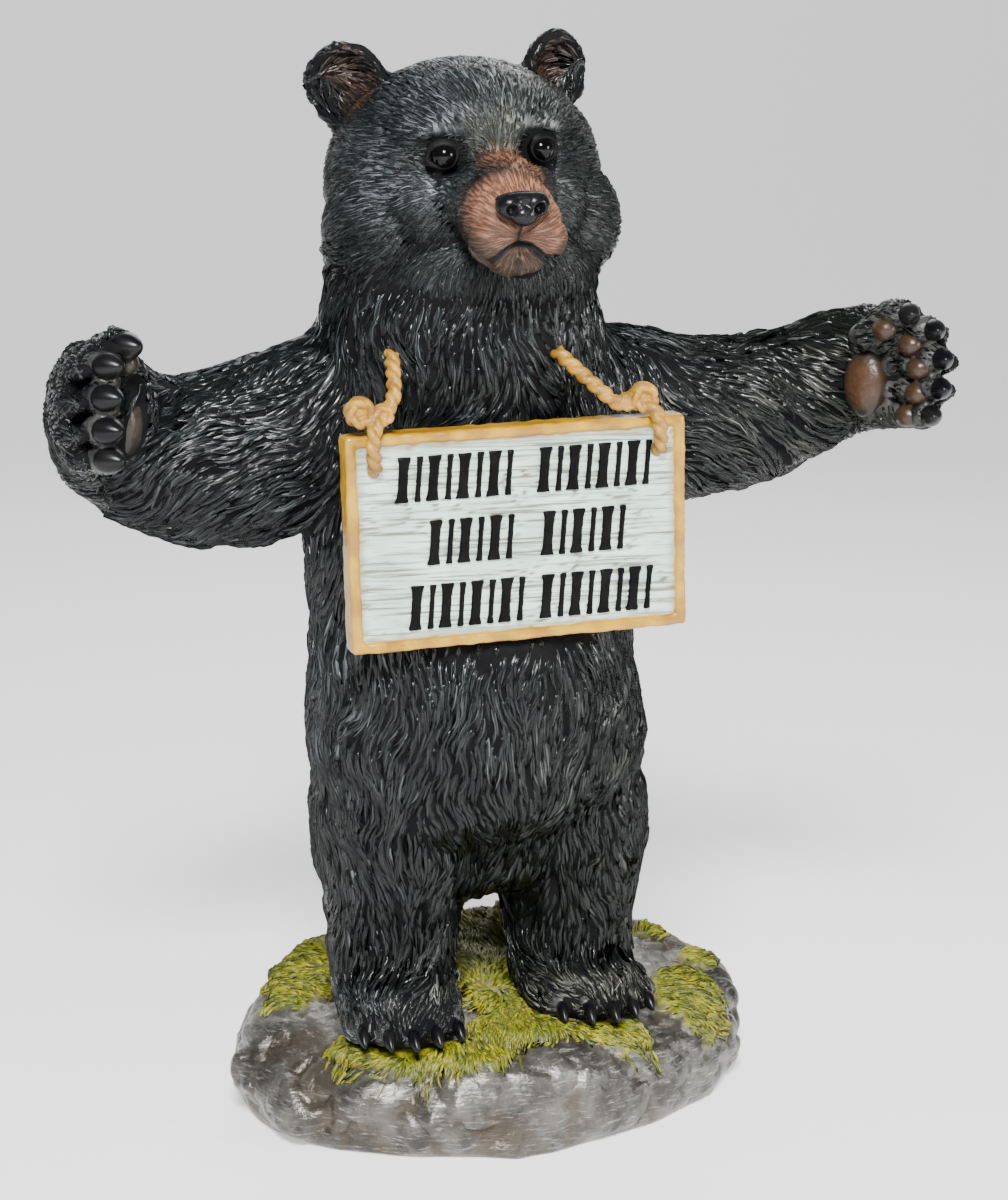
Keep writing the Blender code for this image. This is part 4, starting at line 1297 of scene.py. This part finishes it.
# %% [markdown]
# ## Growing locks
# No two carved locks are alike, and some stand up in tufts. Equal copies would look combed by a
# machine, so lengths, widths and heights vary at random, always from the same seed. Where the sign
# or a rope is in the way, a lock is made short, and it is left out where even that has no room.


# %% Growing locks
STUB = 0.35  # a short lock's share of its full length


def grow(surface, roots, seed):
    """Guides, widths, heights and colours of locks that start at these roots."""
    rng = np.random.default_rng(seed)
    _, lengths, widths, heights, head_part = coat_sizes(roots)
    lengths *= rng.uniform(0.75, 1.3, len(roots))
    widths *= rng.uniform(0.75, 1.25, len(roots))
    tuft = np.clip(rough(roots, 8 * MM, 4.0) + 0.1, 0, 1)
    heights *= rng.uniform(0.75, 1.2, len(roots)) * (1 + 1.5 * tuft * (1 - 0.7 * head_part))
    swirl = 1.0 - 0.55 * head_part
    guides = lay_guides(surface, roots, lengths, lie_of_fur, swirl, seed + 1)
    short = ~np.all([free_of_sign(guides[0][station]) for station in (0, 2, 4)], axis=0)
    if short.any():
        stubs = lay_guides(surface, roots[short], lengths[short] * STUB, lie_of_fur,
                           swirl[short], seed + 2)
        for part, stub in zip(guides, stubs):
            part[:, short] = stub
    heights[short] *= 0.5
    colours = painted(roots)
    fleck = rng.normal(0, 0.12, len(roots)) + 0.35 * (rng.random(len(roots)) > 0.95)
    colours[:, 0] += fleck * (1 - 0.6 * head_part)
    keep = furry(guides[0][2]) & furry(guides[0][0])
    for station in (0, 2, 4):
        keep &= free_of_sign(guides[0][station], 0.6 * MM)
    parts = [part[:, keep] for part in guides]
    return parts, widths[keep], heights[keep], colours[keep]


print("a short lock on the belly:", round(STUB * coat_sizes(belly)[1][0] / MM, 1), "mm")

# %% [markdown]
# ## The coat
# The coat covers everything but the muzzle, the eyes, the claws and the pads. It could be one piece,
# but that would be too heavy, so it is made part by part. Roots grow only on skins that lie on the
# outside, and keep their spacing. At the end the skins, now hidden, are thinned.

# %% The coat
ARMS_FROM, ARMS_ABOVE = 38, 95  # where the coat is parted, in millimetres from the soles' middle
LEGS_BELOW = 62
CHEST_BEFORE = -2
HAND_ABOVE = 60

body_surface = Surface(skin)
head_surface = Surface(head)
place, normal = head_surface.nearest(body_surface.points)
outside_head = ((body_surface.points - place) * normal).sum(1) > -0.2 * MM
place, normal = body_surface.nearest(head_surface.points)
outside_body = ((head_surface.points - place) * normal).sum(1) > -1.0 * MM

surfaces = [(body_surface, outside_head, 11), (head_surface, outside_body, 21)]
for obj in finger_skins:
    surface = Surface(obj)
    place, normal = body_surface.nearest(surface.points)
    surfaces.append((surface, ((surface.points - place) * normal).sum(1) > -0.3 * MM, 41))
for surface, free, seed in surfaces:
    roots = surface.points[free & furry(surface.points)]
    roots = roots[spread(roots, coat_sizes(roots)[0], seed)]
    guides, widths, heights, colours = grow(surface, roots, seed)
    place = guides[0][0] / MM - SOLES
    whole = np.ones(len(place), bool)
    if surface is head_surface:
        groups = {"fur_head": whole}
    elif surface is not body_surface:
        limb = "hand" if place[0, 2] > HAND_ABOVE else "foot"
        groups = {"fur_" + limb + ("_near" if place[0, 0] < 0 else "_far"): whole}
    else:
        arms = (np.abs(place[:, 0]) > ARMS_FROM) & (place[:, 2] > ARMS_ABOVE)
        legs = (place[:, 2] < LEGS_BELOW) & ~arms
        front = ~arms & ~legs & (place[:, 1] < CHEST_BEFORE)
        groups = {"fur_arms": arms, "fur_legs": legs, "fur_chest": front,
                  "fur_back": ~arms & ~legs & ~front}
    for name, chosen in groups.items():
        parts = [part[:, chosen] for part in guides]
        coat = copy_locks(name, parts, widths[chosen], heights[chosen], colours[chosen])
        hand_over(coat, head_paint if name == "fur_head" else coat_paint, "black fur")
        print(name, chosen.sum(), "locks")
modify(skin, "DECIMATE", ratio=0.14)
modify(head, "DECIMATE", ratio=0.42)

# %% [markdown]
# ## Rock
# The base is a low boulder with worn lumps, creases and a few cracks down its front. It could be
# chiselled from a block with bevels, but its solid has the right outline already. So a merged copy
# is made into fine faces, and noise moves them: smooth noise for lumps, and folded noise for
# creases. Where moss lies, the surface is lifted a little. The vertex colours say where it is
# hollow and where it is mossy.

# %% Moss, creases and cracks
MOSS = (  # middle x and y, half lengths, turn in degrees
    (-36, -35, 14, 6.5, -42),
    (-21, -42, 14, 6, -20),
    (-3, -33, 13, 10, 0),
    (14, -38, 12, 6.5, -12),
    (2, 2, 10, 38, -8),
    (-42, 18, 9, 28, -20),
    (2, 38, 22, 10, 0),
    (-30, 42, 12, 8, 20),
    (43, -19, 9, 15, -20),
    (54, 3, 4.6, 4.6, 0),
    (44, 22, 6, 8, 20),
)
MOUND = (13, 27)
CRACKS = (  # x, width and depth, in millimetres
    (-27, 3.0, 1.0), (-51, 2.2, 0.8), (3, 3.4, 1.0), (27, 2.2, 0.6), (-64, 2.0, 0.5))


def moss_at(points):
    """1 where moss covers the rock, 0 on bare rock."""
    place = points / MM
    ragged = 0.22 * rough(points, 4 * MM, 6.0) + 0.12 * rough(points, 1.6 * MM, 7.0)
    best = np.zeros(len(points))
    for x, y, a, b, turn in MOSS:
        c, s = math.cos(deg(turn)), math.sin(deg(turn))
        dx, dy = place[:, 0] - x, place[:, 1] - y
        distance = np.hypot((dx * c + dy * s) / a, (dy * c - dx * s) / b) + ragged
        best = np.maximum(best, 1 - smooth_step(0.86, 1.02, distance))
    return best * smooth_step(9, 14, place[:, 2])


def rock_relief(points):
    """How far the rock's surface moves outwards, in millimetres, and how hollow it is there."""
    place = points / MM
    steep = smooth_step(22, 14, place[:, 2])
    relief = 2.6 * rough(points, 15 * MM, 1.0) + 0.5 * rough(points, 5 * MM, 2.0)
    crease = 1 - np.abs(rough(points, 12 * MM, 4.0))
    finer = 1 - np.abs(rough(points, 6 * MM, 9.0))
    relief -= 0.7 * finer ** 9
    relief -= 1.6 * crease ** 8 * smooth_step(-0.2, 0.3, rough(points, 16 * MM, 6.0))
    relief += 0.12 * rough(points, 1.6 * MM, 3.0)
    for x, wide, deep in CRACKS:
        front = (place[:, 1] < 0) * (0.35 + 0.65 * steep)
        shift = 1.6 * rough(points, 6 * MM, 3.0) + 0.12 * (place[:, 2] - 12)
        relief -= 1.3 * deep * front * np.exp(-((place[:, 0] - x - shift) / (0.7 * wide)) ** 2)
    return relief, 1 - smooth_step(-1.7, -0.2, relief)


print("moss patches:", len(MOSS), "cracks:", len(CRACKS))

# %% [markdown]
# ## The rock's mesh
# The bear stands flat on its rock, with a small mossy mound behind the feet. Relief all over would
# push through the soles, and a flat disc under them would show its rim. So the relief fades out
# towards the soles and the underside, and only the rest of the rock moves.

# %% The rock's mesh
rock = copy_of_node("rock_base", "rock")
fuse(rock, 0.95 * MM, soften=8)
points = read(rock.data)
relief, hollow = rock_relief(points)
moss = moss_at(points)
place = points / MM
soles = np.min([np.hypot((place[:, 0] - SOLES[0] - x) / 14.0, (place[:, 1] - SOLES[1] - y + 5) / 20)
                for x, y, _ in FEET], 0)
free = smooth_step(0.85, 1.05, soles) * smooth_step(0.5, 4, place[:, 2])
from_mound = np.hypot(place[:, 0] - MOUND[0], place[:, 1] - MOUND[1])
lift = relief * (1 - 0.6 * moss) + moss * (1.2 + 0.8 * rough(points, 3 * MM, 5.0))
lift += 10 * (1 - smooth_step(1, 10, from_mound)) * (points[:, 2] > 15 * MM)
write(rock.data, points + read(rock.data, "normal") * (lift * free * MM)[:, None])
tint = rough(points, 9 * MM, 8.0) * 0.5 + 0.5
store(rock.data, "paint", np.stack([hollow, moss, tint, np.ones(len(moss))], 1))
print("rock points:", len(points), "of them mossy:", int((moss > 0.5).sum()))

# %% [markdown]
# ## Rock paint
# The rock is silver-grey like dull metal, with brown in its hollows and green under the moss. A
# plain grey would look like cement. So a metallic paint is streaked by stretched noise, and the
# vertex colours mix in the brown and the green, where it is rough and not metallic.

# %% Rock paint
METAL = 0.65
SHEEN_ROUGHNESS = 0.31
MOSS_ROUGHER = 0.2
rock_paint, tree, shader = start_material("painted rock", 0.3, 0.0, 0.2)
place = object_place(tree)
brush = paint_layer(tree)
slanted = {"Vector": place, "Scale": (1.0, 1.0, 7.0), "Rotation": (0.25, 0.1, 0.3)}
streaks = add(tree, "Mapping", slanted)
stroke = cloud(tree, streaks.outputs["Vector"], 230.0, 5.0, 0.7)
patch = cloud(tree, place, 90.0, 7.0, 0.68)
grey = mix(tree, ramp(tree, patch, 0.35, 0.65), (0.045, 0.042, 0.036), (0.150, 0.143, 0.126))
silver = mix(tree, ramp(tree, stroke, 0.52, 0.80), grey, (0.46, 0.45, 0.43))
wash = ramp(tree, maths(tree, "ADD", brush["Red"], patch), 0.7, 2.2)
silver = mix(tree, wash, silver, (0.07, 0.048, 0.030))
speckle = ramp(tree, cloud(tree, place, 500.0, 3.0), 0.35, 0.7)
green = mix(tree, speckle, (0.07, 0.085, 0.004), (0.24, 0.22, 0.008))
tree.links.new(mix(tree, brush["Green"], silver, green), shader.inputs["Base Color"])
roughness = scaled(tree, brush["Green"], MOSS_ROUGHER, SHEEN_ROUGHNESS)
tree.links.new(roughness, shader.inputs["Roughness"])
tree.links.new(scaled(tree, brush["Green"], -METAL, METAL), shader.inputs["Metallic"])
bump(tree, shader, maths(tree, "ADD", stroke, cloud(tree, place, 1100.0, 3.0)), 0.00024, 0.7)
hand_over(rock, rock_paint, "grey rock", "rock_base")
print("rock faces:", len(rock.data.polygons))

# %% [markdown]
# ## Moss
# The moss is carved in short blades that lie outwards from between the feet and hang over the front
# edge. Green paint alone would be flat from the side, so the blades are short copies of the lock.
# The rock is thinned only after they are laid, because they grow from its fine points.

# %% Moss
moss_paint, tree, shader = start_material("moss", 0.5, 0.15, 0.3)
height = strand_height(tree, 3.0, 0.6)
brush = paint_layer(tree)
deep = mix(tree, brush["Red"], (0.042, 0.055, 0.002), (0.11, 0.125, 0.003))
tip = mix(tree, brush["Green"], (0.10, 0.13, 0.0015), (0.36, 0.315, 0.002))
shade = ramp(tree, maths(tree, "ADD", height, brush["Red"]), 0.5, 1.5)
tree.links.new(mix(tree, shade, deep, tip), shader.inputs["Base Color"])
bump(tree, shader, height, 0.0003)


def lie_of_moss(points):
    place = points / MM
    away = unit(np.stack([place[:, 0] + 2, place[:, 1] + 8, 0 * place[:, 0]], 1))
    return unit(away + (0, 0, -0.5))


BLADE_PITCH = 0.82 * MM
rock_surface = Surface(rock)
roots = rock_surface.points[(moss_at(rock_surface.points) > 0.55) & (soles > 0.8)]
roots = roots[spread(roots, np.full(len(roots), BLADE_PITCH), 31)]
rng = np.random.default_rng(32)
guides = lay_guides(rock_surface, roots, rng.uniform(3.0, 5.6, len(roots)) * MM, lie_of_moss,
                    np.full(len(roots), 1.3), 33)
colours = rng.random((len(roots), 4))
colours[:, 1] = np.clip(0.5 + 0.6 * rough(roots, 7 * MM, 2.0), 0, 1)
blades = copy_locks("moss", guides, rng.uniform(0.32, 0.5, len(roots)) * MM,
                    rng.uniform(0.45, 1.1, len(roots)) * MM, colours)
hand_over(blades, moss_paint, "grey rock")
modify(rock, "DECIMATE", ratio=0.6)
print("moss blades:", len(roots))

# %% [markdown]
# ## The sign's frame
# The sign is a pale board in a honey-coloured frame, both as if cut by hand. Four bars could be
# joined at their corners, but the cast shows no joints. So the frame is one block whose front is
# inset twice, once for its flat face and once for the step down to the board. Its edges are rounded
# and noise presses it a little out of true.

# %% The sign's frame
FRAME_WIDTH = 2.2 * MM
RECESS = 1.4 * MM
BOARD_FACE = RECESS - 0.6 * MM  # how far the board's face lies behind the frame's


def to_sign(obj):
    obj.data.transform(SIGN_FACE)
    return obj


deselect()
bpy.ops.mesh.primitive_cube_add(size=1.0, location=(0, SIGN_SIZE.y / 2, 0), scale=SIGN_SIZE)
sign_frame = bake_place(named("sign_frame"))
select_faces(sign_frame, lambda face: face.normal.y < -0.9)
bpy.ops.mesh.inset(thickness=FRAME_WIDTH)
bpy.ops.mesh.inset(thickness=0.3 * MM, depth=-RECESS)
bpy.ops.mesh.delete(type="FACE")
select_faces(sign_frame, lambda face: True)
bpy.ops.mesh.region_to_loop()
bpy.ops.mesh.edge_face_add()
bpy.ops.object.mode_set(mode="OBJECT")
modify(sign_frame, "BEVEL", width=1.0 * MM, segments=4, limit_method="ANGLE", angle_limit=deg(50))
fuse(sign_frame, 0.42 * MM, soften=2)
points = read(sign_frame.data)
notches = 0.20 * rough(points * (1, 1, 0.5), 2.2 * MM)
notches += 0.14 * rough(points * (0.25, 1, 1), 1.1 * MM, 4.0)
write(sign_frame.data, points + read(sign_frame.data, "normal") * (notches * MM)[:, None])
modify(sign_frame, "DECIMATE", ratio=0.3)

frame_paint, tree, shader = start_material("frame paint", 0.36, 0.3, 0.2)
place = object_place(tree)
fibres = add(tree, "Mapping", {"Vector": place, "Scale": (0.25, 1, 1)}).outputs["Vector"]
grain = cloud(tree, fibres, 900.0, 4.0)
blotch = ramp(tree, cloud(tree, place, 160.0, 3.0), 0.35, 0.65)
warm = mix(tree, blotch, (0.28, 0.130, 0.0003), (0.44, 0.245, 0.0006))
warm = mix(tree, ramp(tree, grain, 0.64, 0.78), warm, (0.22, 0.12, 0.045))
tree.links.new(warm, shader.inputs["Base Color"])
bump(tree, shader, grain, 0.0002, 0.7)
hand_over(to_sign(sign_frame), frame_paint, "pale board", "sign")
print("frame faces:", len(sign_frame.data.polygons))

# %% [markdown]
# ## The board
# The board is pale wood with fine scratches along its grain, and it is darker where it meets the
# frame. The scratches could be painted alone, but they would vanish in a low light. So a grid is
# pressed in along lines of stretched noise, and the same lines are kept as a colour for the paint.

# %% The board
BOARD_THICK = 0.8 * MM
UNDER_FRAME = 0.8 * MM
deselect()
bpy.ops.mesh.primitive_grid_add(x_subdivisions=120, y_subdivisions=96, size=1.0)
board = named("board")
opening = [side - 2 * FRAME_WIDTH + UNDER_FRAME for side in (SIGN_SIZE.x, SIGN_SIZE.z)]
points = read(board.data)
x, z = points[:, 0] * opening[0], points[:, 1] * opening[1]
grid = np.stack([x, 0 * x, z], 1)
wave = rough(grid * (0.12, 1, 1), 1.9 * MM, 1.0)
lines = np.abs(rough(grid * (0.07, 1, 1), 0.9 * MM, 3.0) + 0.25 * wave)
worn = smooth_step(0.10, 0.0, lines)
worn = worn * smooth_step(-0.35, 0.25, rough(grid * (0.4, 1, 1), 6 * MM, 5.0))
dent = 0.10 * wave - 0.30 * worn
write(board.data, np.stack([x, BOARD_FACE - dent * MM, z], 1))
edge = np.minimum(opening[0] / 2 - np.abs(x), opening[1] / 2 - np.abs(z)) / MM
# The board is darker towards the frame's edge.
darker_near_frame = smooth_step(2.6, 0.5, edge + 0.8 * rough(grid, 2 * MM, 8.0))
store(board.data, "paint", np.stack([worn, darker_near_frame, 0.5 + 0.5 * wave, np.ones(len(worn))], 1))
select_faces(board, lambda face: True)
bpy.ops.mesh.region_to_loop()
bpy.ops.mesh.extrude_region_move(TRANSFORM_OT_translate={"value": (0, BOARD_THICK, 0)})
bpy.ops.mesh.edge_face_add()
bpy.ops.mesh.select_all(action="SELECT")
bpy.ops.mesh.normals_make_consistent(inside=False)
bpy.ops.object.mode_set(mode="OBJECT")
board_paint, tree, shader = start_material("board paint", 0.55, 0.1, 0.3)
place = object_place(tree)
brush = paint_layer(tree)
hairs = add(tree, "Mapping", {"Vector": place, "Scale": (0.03, 1, 1)}).outputs["Vector"]
hair = cloud(tree, hairs, 1500.0, 4.0, 0.65)
faded = ramp(tree, cloud(tree, place, 90.0, 3.0), 0.3, 0.7)
pale = mix(tree, faded, (0.38, 0.53, 0.45), (0.57, 0.70, 0.62))
pale = mix(tree, ramp(tree, hair, 0.46, 0.64), pale, (0.14, 0.145, 0.11))
# Green of the paint layer darkens the board towards the frame.
pale = mix(tree, maths(tree, "MULTIPLY", brush["Green"], 0.85), pale, (0.26, 0.24, 0.16))
pale = mix(tree, brush["Red"], pale, (0.13, 0.11, 0.075))
tree.links.new(pale, shader.inputs["Base Color"])
bump(tree, shader, hair, 0.0002, 0.6)
hand_over(to_sign(board), board_paint, "pale board")
print("board faces:", len(board.data.polygons))

# %% [markdown]
# ## The strokes
# The board carries three rows of plain black strokes, raised a little. They are no letters, and say
# nothing. They could be painted, but raised strokes catch the light from the side. One stroke is
# modelled and copied, wide and thin by turns, with a lean. Then all are fused, so that their edges
# are as soft as the rest of the cast.

# %% The strokes
STROKE_HEIGHT = 9.6 * MM
STROKE_DEPTH = 1.5 * MM
STROKE_WIDTH = 2.5 * MM
STROKE_PITCH = 6.6 * MM
STROKE_LEAN = 0.9 * MM
THIN_STROKE = 0.5  # a thin stroke's width, as a share of a wide one's
THIN_PLACE = 0.61  # where it starts, as a share of the pitch
ROW_PITCH = 13.8 * MM
ROW_SHIFT = -0.4 * MM
STROKE_ROWS = (  # row, left end in millimetres, number of pairs
    (0, -27.0, 4), (0, 4.0, 4), (1, -20.5, 3), (1, 4.6, 3), (2, -25.0, 4), (2, 4.0, 4))


def stroke_model():
    """One upright stroke with a wider head and foot, one unit high. Its edges are rounded when fused.
    """
    deselect()
    bpy.ops.mesh.primitive_cube_add(size=1.0)
    stroke = named("stroke")
    bpy.ops.object.mode_set(mode="EDIT")
    bpy.ops.mesh.select_all(action="SELECT")
    bpy.ops.mesh.subdivide(number_cuts=6)
    bpy.ops.object.mode_set(mode="OBJECT")
    points = read(stroke.data)
    flare = smooth_step(0.3, 0.5, np.abs(points[:, 2]))
    points[:, 0] *= 0.82 + 0.4 * flare
    write(stroke.data, points)
    return stroke


model = stroke_model()
copies = []
for row, start, count in STROKE_ROWS:
    middle = ROW_PITCH * (1 - row) + ROW_SHIFT
    for k in range(count):
        for offset, share in ((0.0, 1.0), (STROKE_PITCH * THIN_PLACE, THIN_STROKE)):
            left = start * MM + k * STROKE_PITCH + offset
            copy = bpy.data.objects.new("stroke_copy", model.data.copy())
            bpy.context.scene.collection.objects.link(copy)
            points = read(copy.data)
            lean = (points[:, 2] + 0.5) * STROKE_LEAN
            x = left + (points[:, 0] + 0.5) * STROKE_WIDTH * share + lean
            y = BOARD_FACE + points[:, 1] * STROKE_DEPTH
            write(copy.data, np.stack([x, y, middle + points[:, 2] * STROKE_HEIGHT], 1))
            copies.append(copy)
bpy.data.objects.remove(model)
strokes = fuse(join(copies, "strokes"), 0.28 * MM, soften=2)
points = read(strokes.data)
uneven = 0.09 * MM * rough(points, 0.9 * MM)
write(strokes.data, points + read(strokes.data, "normal") * uneven[:, None])
modify(strokes, "DECIMATE", ratio=0.35)
stroke_paint = skin_material("stroke paint", (0.001, 0.001, 0.001), (0.003, 0.003, 0.003), 0.4,
                             scale=1500.0, depth=0.0001, specular=0.08)
hand_over(to_sign(strokes), stroke_paint, "pale board")
print("sign ready, strokes:", len(copies))

# %% [markdown]
# ## Strands and knots
# The rope is moulded hard, as two strands wound about each other, with a knot at each upper corner
# of the sign. A Screw modifier could wind a straight rope, but this one bends. So a strand is a
# curve with a round bevel that winds about the rope's path and is turned into a mesh. A knot is one
# strand wound over itself in a ball.

# %% Strands and knots
ROPE_LAY = 6.0 * MM  # the length of one turn
STRAND_OUT = 0.44  # a strand's way from the path and its radius, as shares of the rope's radius
STRAND_RADIUS = 0.6
KNOT_POINTS = 150


def across_path(path):
    """Two directions across a path at each of its points."""
    axes = []
    for i, _ in enumerate(path):
        ahead = (path[min(i + 1, len(path) - 1)] - path[max(i - 1, 0)]).normalized()
        side = ahead.cross(Vector((0.2, 1, 0.1))).normalized()
        axes.append((side, side.cross(ahead)))
    return axes


def strand(path, radius):
    """A round strand along a path, as a mesh."""
    curve = bpy.data.curves.new("strand", "CURVE")
    curve.dimensions = "3D"
    curve.bevel_depth = radius
    curve.bevel_resolution = 4
    curve.use_fill_caps = True
    spline = curve.splines.new("POLY")
    spline.points.add(len(path) - 1)
    for point, place in zip(spline.points, path):
        point.co = (*place, 1)
    obj = bpy.data.objects.new("strand", curve)
    bpy.context.scene.collection.objects.link(obj)
    pick(obj)
    bpy.ops.object.convert(target="MESH")
    return bpy.context.object


def twisted(path, thick):
    radius = thick / 2
    axes = across_path(path)
    length, turns = 0.0, []
    for i, point in enumerate(path):
        length += (point - path[i - 1]).length if i else 0.0
        turns.append(2 * math.pi * length / ROPE_LAY)
    made = []
    for phase in (0, math.pi):
        line = []
        for point, (side, rise), turn in zip(path, axes, turns):
            shift = side * math.cos(turn + phase) + rise * math.sin(turn + phase)
            line.append(point + shift * radius * STRAND_OUT)
        made.append(strand(line, radius * STRAND_RADIUS))
    return made


def knot(centre, size):
    """A strand wound over itself in a ball."""
    line = []
    for k in range(KNOT_POINTS):
        t = k / KNOT_POINTS * 2 * math.pi
        around = Vector((math.cos(3 * t), 0.75 * math.sin(5 * t), math.sin(3 * t)))
        line.append(centre + around * (size * 0.30 * (1.15 + 0.3 * math.cos(5 * t))))
    return [strand(line, size * 0.125), ball(centre, (size * 0.22,) * 3)]


print("one turn of the rope:", round(ROPE_LAY / MM, 1), "mm")

# %% [markdown]
# ## The two ropes
# Each stretch runs from the fur down to a knot, and from there in a loop over the frame. They are
# painted ochre with grey specks. Two strands could stay apart, but in a cast they are one, so a fine
# Remesh fuses strands and knots and closes their ends.

# %% The two ropes
rope_paint, tree, shader = start_material("rope paint", 0.5, 0.15, 0.3)
place = object_place(tree)
fibre = cloud(tree, place, 1400.0, 3.0, 0.6)
blotch = ramp(tree, cloud(tree, place, 260.0, 3.0), 0.35, 0.65)
ochre = mix(tree, blotch, (0.20, 0.095, 0.004), (0.38, 0.19, 0.010))
specks = ramp(tree, cloud(tree, place, 620.0, 2.0), 0.66, 0.74)
ochre = mix(tree, specks, ochre, (0.20, 0.18, 0.14))
tree.links.new(ochre, shader.inputs["Base Color"])
bump(tree, shader, fibre, 0.0002, 0.8)

for name, (side, runs) in ROPE_PATHS.items():
    pieces = []
    for run in runs:
        pieces += twisted(smooth_path([from_corner(q, side) for q in run], 0.35 * MM), ROPE_THICK)
    for centre in KNOTS[name]:
        pieces += knot(from_corner(centre, side), KNOT_SIZE * centre[3])
    rope = fuse(join(pieces, name + "_twisted"), 0.26 * MM, soften=1)
    hand_over(to_sign(rope), rope_paint, "ochre rope", name)
    print(name, "faces:", len(rope.data.polygons))
